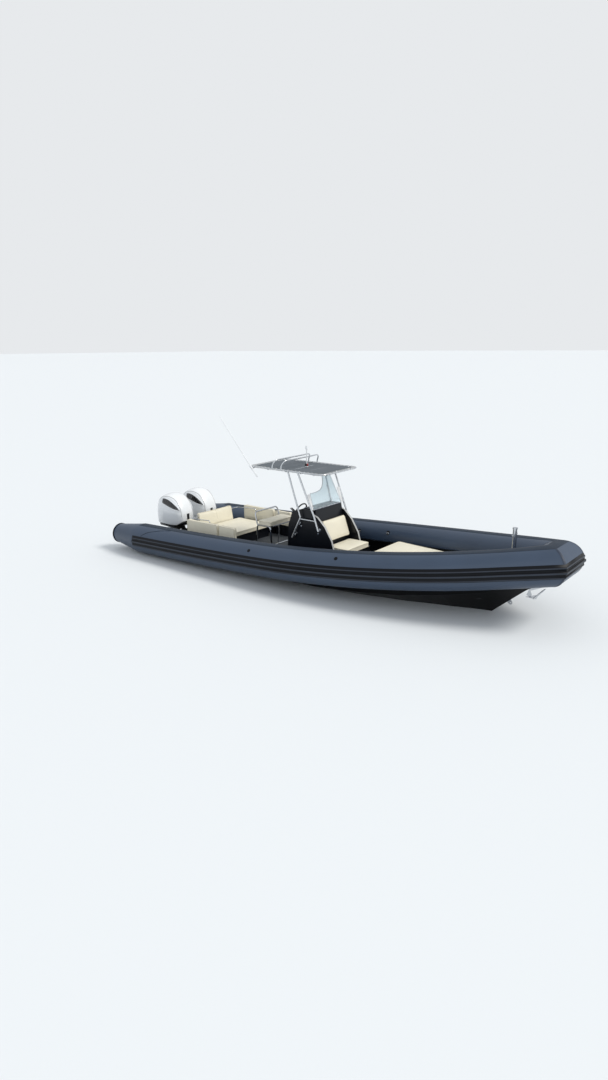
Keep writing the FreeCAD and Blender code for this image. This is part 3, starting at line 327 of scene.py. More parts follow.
def frames_along(points, closed=False):
    """A point, two cross directions and no twist, for each point of a route."""
    count = len(points)
    tangents = []
    for i in range(count):
        before = points[(i - 1) % count] if closed or i else points[0]
        after = points[(i + 1) % count] if closed or i < count - 1 else points[-1]
        tangents.append((after - before).normalized())
    side = tangents[0].orthogonal().normalized()
    frames = []
    for i, tangent in enumerate(tangents):
        if i:
            side = tangents[i - 1].rotation_difference(tangent) @ side
        side = (side - tangent * side.dot(tangent)).normalized()
        frames.append((points[i], side, tangent.cross(side)))
    return frames


def add_rod(bm, points, radius, material=0, sides=12, closed=False):
    """Round bar along a route."""
    rings = []
    for point, side, up in frames_along(points, closed):
        rings.append([point + side * (radius * math.cos(a)) + up * (radius * math.sin(a))
                      for a in turns(sides)])
    if closed:
        rings.append(rings[0])
    add_skin(bm, rings, material, ends=not closed)
    if closed:
        bmesh.ops.remove_doubles(bm, verts=bm.verts, dist=1e-6)


def add_box(bm, low, high, material=0, turn=None):
    xs, ys, zs = zip(low, high)
    corners = [Vector((x, y, z)) for x in xs for y in ys for z in zs]
    if turn:
        corners = [turn @ c for c in corners]
    verts = [bm.verts.new(c) for c in corners]
    for loop in ((0, 1, 3, 2), (4, 6, 7, 5), (0, 4, 5, 1), (2, 3, 7, 6), (0, 2, 6, 4), (1, 5, 7, 3)):
        bm.faces.new([verts[i] for i in loop]).material_index = material


def spline(points, steps=8, closed=False):
    """Smooth line through the points."""
    points = [Vector(p) for p in points]
    count = len(points)
    out = []
    spans = count if closed else count - 1
    for i in range(spans):
        if closed:
            a, b, c, d = (points[(i + k) % count] for k in (-1, 0, 1, 2))
        else:
            a, b, c, d = points[max(i - 1, 0)], points[i], points[i + 1], points[min(i + 2, count - 1)]
        for k in range(steps):
            t = k / steps
            out.append(0.5 * ((2 * b) + (c - a) * t + (2 * a - 5 * b + 4 * c - d) * t * t
                              + (3 * b - a - 3 * c + d) * t ** 3))
    if not closed:
        out.append(points[-1])
    return out


def mirror_y(points):
    return [Vector((p[0], -p[1], p[2])) for p in points]


def piece(name, bm, materials, body, replaces=(), bevel=0.0, sharp=38.0):
    """Turns the mesh into an object that rides on a CAD body; sharp is where its smooth shading stops."""
    bmesh.ops.recalc_face_normals(bm, faces=bm.faces)
    for face in bm.faces:
        face.smooth = True
    limit = math.radians(sharp)
    for edge in bm.edges:
        if len(edge.link_faces) == 2 and edge.calc_face_angle(0.0) > limit:
            edge.smooth = False
    mesh = bpy.data.meshes.new(name)
    bm.to_mesh(mesh)
    bm.free()
    for key in materials:
        mesh.materials.append(M[key])
    shape = bpy.data.objects.new(name, mesh)
    scene.collection.objects.link(shape)
    if bevel:
        cut = shape.modifiers.new("edge", "BEVEL")
        cut.width = bevel
        cut.segments = 2
        cut.limit_method = "ANGLE"
        cut.angle_limit = math.radians(35)
    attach(shape, body)
    if replaces:
        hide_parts(*replaces)
    return shape


# Collar: the same lines as the solid model, run smoothly

HALF, TUBE_R = 1.410, 0.350  # half the tubes' spacing, and their radius
AFT_X, CONE_X, TIP_R = -5.000, -4.150, 0.225
CURVE_X, NOSE_X, NOSE_HALF, POWER = -0.370, 5.070, 0.240, 2.2
TURN_X = 4.300  # from here the sections turn into the bow's mitre
TAPE = 0.022  # half the width of the mitres' tapes
TUBE_POINTS = 48


def plan_y(x):
    run = max(0.0, (x - CURVE_X) / (NOSE_X - CURVE_X))
    return HALF - (HALF - NOSE_HALF) * run ** POWER


def plan_angle(x):
    run = max(0.0, (x - CURVE_X) / (NOSE_X - CURVE_X))
    return math.atan((HALF - NOSE_HALF) * POWER * run ** (POWER - 1) / (NOSE_X - CURVE_X))


def sheer_z(x):
    run = (x - AFT_X) / (NOSE_X - AFT_X)
    return 0.342 + 0.298 * run + 0.489 * run ** 3


class Section:
    """A cut across the collar: its centre, and its outward direction, longer where the cut is oblique."""

    def __init__(self, centre, outward):
        self.centre, self.outward = centre, outward

    def point(self, radius, angle):
        turn = math.radians(angle)
        rise = Vector((0, 0, radius * math.sin(turn)))
        return self.centre + self.outward * (radius * math.cos(turn)) + rise

    def mirrored(self):
        return Section(*mirror_y((self.centre, self.outward)))


def side_section(x):
    """Port section at x: square to the collar, and turning into the mitre near the bow."""
    heading = -plan_angle(x)
    square = math.pi / 2 + heading
    mitre = (math.pi / 2 - plan_angle(NOSE_X)) / 2
    share = min(1.0, max(0.0, (x - TURN_X) / (NOSE_X - TURN_X)))
    azimuth = square * (1 - share ** 1.5) + mitre * share ** 1.5
    outward = Vector((math.cos(azimuth), math.sin(azimuth), 0)) / abs(math.sin(azimuth - heading))
    return Section(Vector((x, plan_y(x), sheer_z(x))), outward)


side_xs = [CONE_X + (CURVE_X - CONE_X) * k / 12 for k in range(12)]
side_xs += [CURVE_X + (NOSE_X - CURVE_X) * k / 36 for k in range(37)]
SIDE = [side_section(x) for x in side_xs]
BOW = [SIDE[-1], SIDE[-1].mirrored()]
AROUND = SIDE + [s.mirrored() for s in reversed(SIDE)]


def tube_ring(section):
    return [section.point(TUBE_R, 360.0 * k / TUBE_POINTS) for k in range(TUBE_POINTS)]


def cone_ring(x):
    share = (x - AFT_X) / (CONE_X - AFT_X)
    centre = Vector((x, HALF, sheer_z(CONE_X)))
    radius = TIP_R + (TUBE_R - TIP_R) * share
    return [centre + Vector((0, radius * math.cos(a), radius * math.sin(a))) for a in turns(TUBE_POINTS)]


def build_tubes():
    for word, flip in (("port", False), ("starboard", True)):
        rings = [cone_ring(AFT_X + (CONE_X - AFT_X) * k / 5) for k in range(5)]
        rings += [tube_ring(s) for s in SIDE]
        bm = bmesh.new()
        add_skin(bm, [mirror_y(r) for r in rings] if flip else rings)
        piece("collar_" + word, bm, ["tube"], "boat", ["tube_" + word])
    bm = bmesh.new()
    ends = [tube_ring(s) for s in BOW]
    add_skin(bm, [[a.lerp(b, k / 10) for a, b in zip(*ends)] for k in range(11)])
    piece("collar_bow", bm, ["tube"], "boat", ["tube_bow"])


# Outlines round the tube: angle in degrees, height in millimetres
STRAKE = [(23, 1.5), (21.8, 5), (16.2, 6), (15.4, 12), (14.6, 14), (11, 14), (10.2, 12), (9.5, 6), (4, 6),
          (3, 22), (2, 26), (-3, 26), (-4, 22), (-5, 6), (-11, 6), (-11.8, 12), (-12.6, 14), (-16.4, 14),
          (-17.2, 12), (-18.4, 3), (-19, 1)]
WEAR_STRIP = [(108, 1.0), (107, 3), (100, 3.3), (90, 3.3), (80, 3.3), (73, 3), (72, 1.0)]
# Painted highlight on the tops of the strake's ribs, a lighter rubber: upper and lower angle, height over
# RIB_BASE
RIB_BASE = TUBE_R + 0.008
RIB_HIGHLIGHTS = [(14.3, 11.3, 6.5), (1.7, -2.7, 18.1), (-12.9, -16.1, 6.5)]


def band_ring(section, outline, base=TUBE_R, thick=0.002):
    outer = [section.point(base + height / 1000.0, angle) for angle, height in outline]
    inner = [section.point(base - thick, angle) for angle, height in reversed(outline)]
    return outer + inner


def build_bands():
    bm = bmesh.new()
    add_skin(bm, [band_ring(s, STRAKE) for s in AROUND])
    # Tops of the ribs in the lighter rubber, as a painted highlight
    for top, low, height in RIB_HIGHLIGHTS:
        outline = [(top, height), ((top + low) / 2, height + 0.1), (low, height)]
        add_skin(bm, [band_ring(s, outline, RIB_BASE, 0.0) for s in AROUND], 1)
    piece("rub_strake_band", bm, ["rubber", "rib_highlight"], "boat", ["rub_strake"], sharp=60)
    bm = bmesh.new()
    add_skin(bm, [band_ring(s, WEAR_STRIP) for s in AROUND])
    piece("wear_band", bm, ["wear"], "boat", ["wear_strip"], sharp=70)


def on_collar(x, angle, lift):
    return side_section(x).point(TUBE_R + lift, angle)


def build_seams():
    """Welded tapes at the bow's mitres and the curved edge of the doubler near the stern."""
    bm = bmesh.new()
    corner = SIDE[-1]
    doubler = [(-3.86, 25), (-3.76, 37), (-3.65, 46), (-3.44, 57), (-3.29, 64), (-3.05, 71)]
    for flip in (False, True):
        rings = []
        for k in range(97):
            angle = 360.0 * k / 96
            middle = corner.point(TUBE_R + 0.0022, angle)
            aft = on_collar(NOSE_X - TAPE, angle, 0.0012)
            inboard = corner.point(TUBE_R + 0.0012, angle) + Vector((0, -TAPE, 0))
            row = [aft, middle, inboard]
            rings.append(mirror_y(row) if flip else row)
        add_skin(bm, rings, closed=False)
        line = spline([on_collar(x, angle, 0.0005) for x, angle in doubler], 6)
        add_rod(bm, mirror_y(line) if flip else line, 0.0045, 1, sides=8)
    piece("collar_seams", bm, ["seam", "rubber"], "boat", sharp=70)


build_tubes()
build_bands()
build_seams()


VALVE = [(0.036, -0.004), (0.036, 0.0025), (0.030, 0.0045), (0.021, 0.0045), (0.019, 0.0015), (0.010, 0.0015)]


def collar_seat(x, angle):
    """Point on the collar, and the direction out of it."""
    section = side_section(x)
    root = section.point(TUBE_R, angle)
    return root, (root - section.centre).normalized()


def build_collar_fittings():
    """Valves in the upper side, and D-rings on the inner side."""
    rubber = bmesh.new()
    steel = bmesh.new()
    for flip in (False, True):
        for x, angle in ((-0.52, 42), (1.52, 48)):
            root, out = collar_seat(x, angle)
            side = out.cross(Vector((1, 0, 0))).normalized()
            along = side.cross(out)
            rings = [[root + out * lift + (along * math.cos(a) + side * math.sin(a)) * radius
                      for a in turns(28)] for radius, lift in VALVE]
            add_skin(rubber, [mirror_y(r) for r in rings] if flip else rings)
        for x, angle in ((0.32, 154), (1.12, 150)):
            root, out = collar_seat(x, angle)
            along = Vector((1, 0, 0))
            up = out.cross(along).normalized()
            ring = [root + out * 0.010 + (along * math.cos(a) - up * (0.6 + math.sin(a))) * 0.022
                    for a in turns(16)]
            rim = [root + out * 0.004 + (along * math.cos(a) + up * math.sin(a)) * 0.048 for a in turns(24)]
            base = [p - out * 0.010 for p in rim]
            if flip:
                ring, rim, base = mirror_y(ring), mirror_y(rim), mirror_y(base)
            add_rod(steel, ring, 0.0055, sides=8, closed=True)
            add_skin(rubber, [base, rim])
    piece("collar_valves", rubber, ["rubber"], "boat", sharp=40)
    piece("collar_rings", steel, ["steel"], "boat", sharp=60)


build_collar_fittings()


# Outboard cowls

ENGINE_Y = 0.395


def table_at(table, x):
    """Smooth value from rows of x and value."""
    xs = [row[0] for row in table]
    x = min(max(x, xs[0]), xs[-1])
    i = max(k for k in range(len(xs) - 1) if xs[k] <= x)
    x0, x1 = xs[i], xs[i + 1]

    def slope(k):
        if 0 < k < len(table) - 1:
            return (table[k + 1][1] - table[k - 1][1]) / (table[k + 1][0] - table[k - 1][0])
        a, b = (table[0], table[1]) if k == 0 else (table[-2], table[-1])
        return (b[1] - a[1]) / (b[0] - a[0])

    t = (x - x0) / (x1 - x0)
    h = x1 - x0
    y0, y1, m0, m1 = table[i][1], table[i + 1][1], slope(i) * h, slope(i + 1) * h
    return ((2 * t ** 3 - 3 * t * t + 1) * y0 + (t ** 3 - 2 * t * t + t) * m0
            + (3 * t * t - 2 * t ** 3) * y1 + (t ** 3 - t * t) * m1)


COWL_TOP = [(-4.540, 1.060), (-4.520, 1.120), (-4.480, 1.178), (-4.42, 1.224), (-4.34, 1.266), (-4.25, 1.292),
            (-4.15, 1.303), (-4.05, 1.284), (-3.96, 1.242), (-3.88, 1.182), (-3.80, 1.090), (-3.74, 0.985),
            (-3.705, 0.900), (-3.690, 0.840)]
COWL_HALF = [(-4.540, 0.205), (-4.520, 0.242), (-4.48, 0.266), (-4.40, 0.283), (-4.30, 0.291), (-4.15, 0.292),
             (-4.00, 0.286), (-3.90, 0.270), (-3.80, 0.240), (-3.73, 0.200), (-3.70, 0.170), (-3.690, 0.150)]
COWL_LOW = [(-4.540, 0.600), (-4.50, 0.565), (-4.40, 0.560), (-3.95, 0.560), (-3.86, 0.568), (-3.78, 0.610),
            (-3.72, 0.650), (-3.69, 0.670)]
# Half section from the cowl's foot up to its crown: share of half width, share of height
COWL_SECTION = [(0.0, 0.0), (0.60, 0.0), (0.90, 0.0), (0.955, 0.012), (0.972, 0.05), (0.985, 0.16),
                (0.998, 0.30), (1.0, 0.44), (0.99, 0.56), (0.955, 0.68), (0.905, 0.775), (0.865, 0.835),
                (0.845, 0.868), (0.800, 0.905), (0.70, 0.940), (0.52, 0.972), (0.28, 0.993), (0.0, 1.0)]


def cowl_rings():
    xs = [-4.540, -4.534, -4.520, -4.500]
    xs += [-4.500 + 0.77 * k / 26 for k in range(1, 27)]
    xs += [-3.715, -3.702, -3.694, -3.690]
    rings = []
    for x in xs:
        top, half, low = table_at(COWL_TOP, x), table_at(COWL_HALF, x), table_at(COWL_LOW, x)
        side = [Vector((x, half * y, low + (top - low) * z)) for y, z in COWL_SECTION]
        rings.append(side + mirror_y(reversed(side[1:-1])))
    return rings


def shifted(points, y):
    return [p + Vector((0, y, 0)) for p in points]


VENT = [(-4.300, 1.160), (-4.268, 1.188), (-4.180, 1.192), (-4.060, 1.168), (-3.935, 1.105), (-3.820, 1.015),
        (-3.750, 0.925), (-3.800, 0.928), (-3.930, 0.962), (-4.120, 1.018), (-4.270, 1.062), (-4.302, 1.090)]
CREASE = [(-4.405, 1.160), (-4.325, 1.212), (-4.206, 1.238), (-4.082, 1.240), (-3.957, 1.200),
          (-3.855, 1.120), (-3.780, 1.020), (-3.735, 0.900), (-3.715, 0.780)]
PAN = [(-4.505, 0.19), (-4.49, 0.215), (-4.42, 0.262), (-4.20, 0.272), (-4.05, 0.270), (-3.93, 0.252),
       (-3.905, 0.22)]
PAN_STEPS = [(0.500, 0.515, -0.012), (0.515, 0.548, 0.0), (0.548, 0.556, -0.006)]  # from z, to z, growth


def patch_on(tree, outline, side, lift, rows=5):
    """Grid over an x, z outline, laid on the surface that the tree holds, seen from one side."""
    count = len(outline)
    middle = Vector((sum(p[0] for p in outline) / count, 0, sum(p[1] for p in outline) / count))
    rings = []
    for k in range(rows + 1):
        ring = []
        for x, z in outline:
            spot = middle.lerp(Vector((x, 0, z)), k / rows)
            start, ahead = Vector((spot.x, side * 1.5, spot.z)), Vector((0, -side, 0))
            hit, normal, index, reach = tree.ray_cast(start, ahead)
            if hit is None:
                hit, normal = Vector((spot.x, side * 0.25, spot.z)), Vector((0, side, 0))
            if normal.y * side < 0:
                normal = -normal
            ring.append(hit + normal * lift)
        rings.append(ring)
    return rings


def edge_on(tree, outline, side, lift):
    """Line of x, z points laid on the surface."""
    return patch_on(tree, outline, side, lift, 1)[1]


def smoothed(outline, steps, closed):
    return [(p.x, p.z) for p in spline([(x, 0, z) for x, z in outline], steps, closed)]


def vent_blades():
    """Lines of x, z points across the vent, from its lower to its upper edge."""
    for k in range(1, 8):
        share = k / 8
        low = Vector((-4.290 + 0.470 * share, 0, 1.075 - 0.140 * share))
        high = Vector((-4.262 + 0.455 * share, 0, 1.184 - 0.07 * share - 0.120 * share * share))
        yield [(low.lerp(high, j / 4).x, low.lerp(high, j / 4).z) for j in range(5)]


def build_cowl_sides(tree, word, engine, y):
    """Vents with their blades and rims, and the crease, on both sides of one cowl."""
    vent = bmesh.new()
    rim = bmesh.new()
    outline = smoothed(VENT, 3, True)
    for side in (1, -1):
        rings = patch_on(tree, outline, side, 0.0035)
        edge = edge_on(tree, outline, side, -0.004)
        add_skin(vent, [shifted(r, y) for r in rings[1:] + [edge]], ends=False)
        vent.faces.new([vent.verts.new(p) for p in shifted(rings[1], y)])
        add_rod(rim, shifted(edge_on(tree, outline, side, 0.003), y), 0.011, sides=8, closed=True)
        for blade in vent_blades():
            route = [edge_on(tree, [spot], side, 0.004)[0] for spot in blade]
            add_rod(vent, shifted(route, y), 0.0045, sides=6)
        route = [edge_on(tree, [spot], side, -0.002)[0] for spot in smoothed(CREASE, 4, False)]
        add_rod(rim, shifted(route, y), 0.0075, 1, sides=8)
    bmesh.ops.remove_doubles(vent, verts=vent.verts, dist=1e-5)
    piece("cowl_vents_" + word, vent, ["gloss_black"], engine, sharp=50)
    piece("cowl_trim_" + word, rim, ["white", "grey_edge"], engine, sharp=50)


def build_cowls():
    form = bmesh.new()
    add_skin(form, cowl_rings())
    bmesh.ops.recalc_face_normals(form, faces=form.faces)
    tree = BVHTree.FromBMesh(form)
    form.free()
    for word, y in (("port", ENGINE_Y), ("starboard", -ENGINE_Y)):
        engine = "engine_" + word
        bm = bmesh.new()
        add_skin(bm, [shifted(r, y) for r in cowl_rings()])
        piece("cowl_shell_" + word, bm, ["white"], engine, ["cowl_" + word], sharp=30)
        build_cowl_sides(tree, word, engine, y)

        low = bmesh.new()
        for z0, z1, grow in PAN_STEPS:
            ring = [Vector((x, half + grow, 0)) for x, half in PAN]
            ring = ring + mirror_y(reversed(ring))
            add_skin(low, [shifted([p + Vector((0, 0, z)) for p in ring], y) for z in (z0, z1)])
        for side in (1, -1):
            add_rod(low, [Vector((-4.10, y + side * reach, 0.53)) for reach in (0.262, 0.286)], 0.02)
        piece("lower_pan_trim_" + word, low, ["black_metal"], engine, ["lower_pan_" + word],
              bevel=0.004)

        grille = bmesh.new()
        add_box(grille, (-3.706, y - 0.040, 0.665), (-3.6885, y + 0.040, 0.840))
        for k in range(6):
            z = 0.680 + 0.026 * k
            add_box(grille, (-3.6895, y - 0.034, z), (-3.685, y + 0.034, z + 0.010))
        piece("cowl_grille_" + word, grille, ["plastic"], engine, bevel=0.003)


build_cowls()


# Cushions

INSET, CROWN, PROUD = 0.006, 0.010, 0.010  # cloth inside its box at rest, its rise, its most above
WELT_R, FILL = 0.0055, 0.75
CLOTH_FRAMES = 20


def squared_to_round(u, v, half_u, half_v, radius):
    """Moves a grid point so that the plan's corners are arcs."""
    core_u, core_v = half_u - radius, half_v - radius
    du, dv = abs(u) - core_u, abs(v) - core_v
    if du <= 0 or dv <= 0:
        return u, v
    reach = max(du, dv) / math.hypot(du, dv)
    return math.copysign(core_u + du * reach, u), math.copysign(core_v + dv * reach, v)


def padded_grid(size_u, size_v, thick, step, radius, taper):
    """Closed grid of a pad: u along, v across, w from its seat up.

    Returns its points, its faces and the two loops of its welts.
    """
    nu, nv = max(6, round(size_u / step)), max(6, round(size_v / step))
    nw = max(3, round(thick / step))
    half_u, half_v = size_u / 2 - INSET, size_v / 2 - INSET
    index, verts, faces = {}, [], []

    def key_point(i, j, k):
        u, v = half_u * (2 * i / nu - 1), half_v * (2 * j / nv - 1)
        u, v = squared_to_round(u, v, half_u, half_v, radius)
        if taper:
            v *= taper(u / half_u)
        return (u, v, INSET * 0.5 + (thick - INSET * 1.5) * k / nw)

    def vert(i, j, k):
        if (i, j, k) not in index:
            index[(i, j, k)] = len(verts)
            verts.append(key_point(i, j, k))
        return index[(i, j, k)]

    for i in range(nu):
        for j in range(nv):
            faces.append((vert(i, j, nw), vert(i + 1, j, nw), vert(i + 1, j + 1, nw), vert(i, j + 1, nw)))
            faces.append((vert(i, j, 0), vert(i, j + 1, 0), vert(i + 1, j + 1, 0), vert(i + 1, j, 0)))
    rim = [(i, 0) for i in range(nu)] + [(nu, j) for j in range(nv)]
    rim += [(i, nv) for i in range(nu, 0, -1)] + [(0, j) for j in range(nv, 0, -1)]
    for (i, j), (p, q) in zip(rim, rim[1:] + rim[:1]):
        for k in range(nw):
            faces.append((vert(i, j, k), vert(p, q, k), vert(p, q, k + 1), vert(i, j, k + 1)))
    loops = [[vert(i, j, k) for i, j in rim] for k in (0, nw)]
    return verts, faces, loops


def swell(shape, cap):
    """Blows the pad up as cloth, caps how far each point goes, and keeps the result."""
    rest = [v.co.copy() for v in shape.data.vertices]
    cloth = shape.modifiers.new("cloth", "CLOTH")
    settings = cloth.settings
    settings.quality = 4
    settings.mass = 0.35
    settings.tension_stiffness = 28
    settings.compression_stiffness = 28
    settings.shear_stiffness = 12
    settings.bending_stiffness = 2.5
    settings.use_pressure = True
    settings.uniform_pressure_force = 4.0
    settings.effector_weights.gravity = 0
    cloth.point_cache.frame_start, cloth.point_cache.frame_end = 1, CLOTH_FRAMES
    for number in range(1, CLOTH_FRAMES + 1):
        scene.frame_set(number)
    graph = bpy.context.evaluated_depsgraph_get()
    moved = [v.co.copy() for v in shape.evaluated_get(graph).data.vertices]
    shape.modifiers.remove(cloth)
    for vert, start, end in zip(shape.data.vertices, rest, moved):
        step = end - start
        if step.length > cap:
            step *= cap / step.length
        vert.co = start + step
    scene.frame_set(1)


def cushion(name, place, size, body, replaces=(), radius=0.05, cap=0.012, step=0.022, taper=None, lines=()):
    """Crowned pad with piped edges and sewn lines.

    place maps u, v, w to the frame; lines are (axis, at, from, to) sewn channels on its upper face.
    """
    size_u, size_v, thick = size
    verts, faces, loops = padded_grid(size_u, size_v, thick, step, radius, taper)
    mesh = bpy.data.meshes.new(name)
    mesh.from_pydata(verts, [], faces)
    shape = bpy.data.objects.new(name, mesh)
    scene.collection.objects.link(shape)
    for vert in mesh.vertices:
        u, v, w = vert.co
        if w > thick * 0.6:
            vert.co.z += CROWN * (1 - (2 * u / size_u) ** 4) * (1 - (2 * v / size_v) ** 4) - CROWN * 0.6
    swell(shape, cap)
    for vert in mesh.vertices:
        vert.co.z = min(max(vert.co.z, 0.0), thick + PROUD)
        vert.co.x = min(max(vert.co.x, -size_u / 2 - 0.004), size_u / 2 + 0.004)
    welts = [[Vector(mesh.vertices[i].co) for i in loop] for loop in loops]
    bm = bmesh.new()
    bm.from_mesh(mesh)
    bmesh.ops.subdivide_edges(bm, edges=bm.edges, cuts=1, use_grid_fill=True, smooth=0.6)
    for vert in bm.verts:
        u, v, w = vert.co
        if w < thick * 0.55:
            continue
        for axis, at, low, high in lines:
            across, along = (u - at, v) if axis == "u" else (v - at, u)
            if low <= along <= high:
                vert.co.z -= 0.010 * math.exp(-(across / 0.012) ** 2)
    for line in welts:
        add_rod(bm, line, WELT_R, 1, sides=6)
    bm.transform(place)
    bpy.data.objects.remove(shape)
    shape = piece(name, bm, ["vinyl", "welt"], body, replaces, sharp=180)


def leaning_place(foot, head, back):
    """u runs to port, v from foot to head, and w out of the pad's face.

    back is how far its seat lies behind the line from foot to head.
    """
    lean = (head - foot).normalized()
    out = Vector((lean.z, 0, -lean.x))
    turn = Matrix((Vector((0, 1, 0)), lean, out)).transposed().to_4x4()
    return Matrix.Translation((foot + head) / 2 - out * back) @ turn


def boxed(node, wide=None):
    """Place and size of a level pad that fills a CAD node's box, or is wide across."""
    low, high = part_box(node)
    size = (high.x - low.x, wide or high.y - low.y, high.z - low.z)
    return Matrix.Translation(((low.x + high.x) / 2, 0, low.z)), size


def build_cushions():
    cushion("bench_pad", *boxed("bench_cushion"), "bench_lid", ["bench_cushion"], radius=0.06,
            lines=[("u", -0.16, -0.70, 0.70)], cap=0.014)
    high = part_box("bow_pad")[1]
    narrow = max(v.co.y for v in NODES["bow_pad"].data.vertices if v.co.x > high.x - 0.02)
    mean, slant = (high.y + narrow) / 2, (narrow - high.y) / 2
    cushion("bow_cushion", *boxed("bow_pad", 2 * mean), "bow_lid", ["bow_pad"], radius=0.07,
            taper=lambda share: 1 + slant * share / mean, step=0.026, lines=[("u", 0.0, -0.60, 0.60)],
            cap=0.013)
    cushion("helm_cushion", *boxed("helm_seat_cushion"), "boat", ["helm_seat_cushion"], radius=0.05,
            lines=[("v", 0.0, -0.17, 0.17)], cap=0.012)
    foot, head = Vector((-3.1125, 0, 0.562)), Vector((-3.182, 0, 0.948))
    cushion("backrest_pad", leaning_place(foot, head, 0.031), (1.118, (head - foot).length, 0.066), "boat",
            ["backrest"], radius=0.05, cap=0.010, lines=[("u", 0.0, -0.18, 0.18)])
    cushion("front_seat_pad", Matrix.Translation(((0.515 + 1.040) / 2, 0, 0.6405)), (0.525, 0.82, 0.099),
            "boat", ["front_seat"], radius=0.05, cap=0.011)
    foot, head = Vector((0.4542, 0, 0.7922)), Vector((0.3025, 0, 1.2180))
    cushion("front_seat_back", leaning_place(foot, head, -0.0005), (0.80, (head - foot).length, 0.094),
            "boat", [], radius=0.05, cap=0.011)
    low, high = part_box("side_pads")
    for name, aft, front in (("aft", low.x, -2.090), ("mid", -2.045, high.x)):
        for side, tag in ((1, "port"), (-1, "starboard")):
            along = Vector((-1, 0, 0)) if side > 0 else Vector((1, 0, 0))
            origin = Vector(((aft + front) / 2, side * high.y, (low.z + high.z) / 2))
            turn = Matrix((along, Vector((0, 0, 1)), Vector((0, -side, 0)))).transposed().to_4x4()
            cushion("side_pad_%s_%s" % (name, tag), Matrix.Translation(origin) @ turn,
                    (front - aft, high.z - low.z, 0.088), "boat", ["side_pads"], radius=0.035, cap=0.009)


build_cushions()


# Canopy: laced sheet on the ring

RING_Z, RING_AFT, RING_FRONT, RING_HALF, RING_CORNER = 2.250, -1.420, 0.570, 0.620, 0.130
SHEET_GAP = 0.049  # from the ring's middle line to the sheet's edge
RIM_POINTS, HOLE_STEP = 168, 3  # points round the rim, and from one eyelet to the next


def rounded_loop(x0, x1, half, corner):
    """Evenly spaced points round a rectangle with arc corners, at the ring's height."""
    points = []
    for cx, cy, start in ((x1 - corner, half - corner, 0), (x0 + corner, half - corner, 90),
                          (x0 + corner, -half + corner, 180), (x1 - corner, -half + corner, 270)):
        for k in range(7):
            a = math.radians(start + 90.0 * k / 6)
            points.append(Vector((cx + corner * math.cos(a), cy + corner * math.sin(a), RING_Z)))
    return resampled(points, RIM_POINTS)


def resampled(points, count):
    """Closed loop with evenly spaced points."""
    loop = points + [points[0]]
    lengths = [0.0]
    for a, b in zip(loop, loop[1:]):
        lengths.append(lengths[-1] + (b - a).length)
    out = []
    i = 0
    for k in range(count):
        at = lengths[-1] * k / count
        while lengths[i + 1] < at:
            i += 1
        span = lengths[i + 1] - lengths[i]
        out.append(loop[i].lerp(loop[i + 1], (at - lengths[i]) / span if span else 0))
    return out


def build_canopy():
    x0, x1, half = RING_AFT + SHEET_GAP, RING_FRONT - SHEET_GAP, RING_HALF - SHEET_GAP
    corner = RING_CORNER - SHEET_GAP / 2
    centre = Vector(((x0 + x1) / 2, 0, RING_Z))
    scallop = [p.lerp(centre, 0.010 * math.sin(math.pi * k / HOLE_STEP) ** 2)
               for k, p in enumerate(rounded_loop(x0, x1, half, corner))]
    bm = bmesh.new()
    for side in (1, -1):
        rings = []
        for share in (1.0, 0.985, 0.96, 0.955, 0.92, 0.85, 0.75, 0.62, 0.48, 0.34, 0.2, 0.08):
            ring = []
            for p in scallop:
                q = centre + (p - centre) * share
                dip = 0.012 * (1 - share ** 2) * math.sin(math.pi * (q.x - x0) / (x1 - x0))
                hem = 0.0022 if share > 0.957 else 0.0
                ring.append(Vector((q.x, q.y, RING_Z - dip + side * (0.0016 + hem))))
            rings.append(ring)
        add_skin(bm, rings, ends=False)
        bm.faces.new([bm.verts.new(p) for p in rings[-1]])
    edge = Vector((0, 0, 0.0038))
    add_skin(bm, [[p + edge for p in scallop], [p - edge for p in scallop]], ends=False)
    bmesh.ops.remove_doubles(bm, verts=bm.verts, dist=1e-5)
    sheet = piece("canopy_sheet", bm, ["canvas"], "boat", ["canopy"], sharp=50)

    lace = bmesh.new()
    eyelets = bmesh.new()
    ring = rounded_loop(RING_AFT, RING_FRONT, RING_HALF, RING_CORNER)
    inner = rounded_loop(x0 + 0.022, x1 - 0.022, half - 0.022, corner)
    up, wrap = Vector((0, 0, 1)), 0.0185
    route = []
    for k in range(0, RIM_POINTS, HOLE_STEP):
        a, b, following = inner[k], ring[(k + 1) % RIM_POINTS], ring[(k + 2) % RIM_POINTS]
        out = b - a
        out.z = 0
        out.normalize()
        route += [a + up * 0.007, b - out * wrap * 0.5 + up * wrap, b + out * wrap,
                  following - out * wrap * 0.2 - up * wrap, a.lerp(b, 0.45) - up * 0.012]
        eyelet = [a + Vector((0.009 * math.cos(turn), 0.009 * math.sin(turn), 0.0045)) for turn in turns(10)]
        add_rod(eyelets, eyelet, 0.0028, sides=6, closed=True)
    add_rod(lace, spline(route, 3, closed=True), 0.0030, sides=5, closed=True)
    cord = piece("canopy_lacing", lace, ["cord"], "boat", sharp=60)
    rings = piece("canopy_eyelets", eyelets, ["steel"], "boat", sharp=60)


build_canopy()


# Console, helm and screen trim

# Edge of the console's wings, from the top of the wing down to the deck
WING_EDGE = [(0.204, 1.381), (0.330, 1.331), (0.425, 1.241), (0.520, 1.151), (0.605, 1.016), (0.690, 0.881),
             (0.725, 0.761), (0.760, 0.641), (0.780, 0.304)]
# Section of its edging: distance from the middle plane, height over the wing's edge
EDGING = [(0.4545, -0.001), (0.4545, 0.003), (0.4600, 0.006), (0.4950, 0.006), (0.5005, 0.003),
          (0.5005, -0.001)]
# Cover over the console's top and its coaming at the front
COVER = [(-0.062, 1.4705), (0.222, 1.4705), (0.2515, 1.4705), (0.292, 1.262), (0.2885, 1.262), (0.247, 1.478),
         (0.222, 1.482), (-0.055, 1.482)]
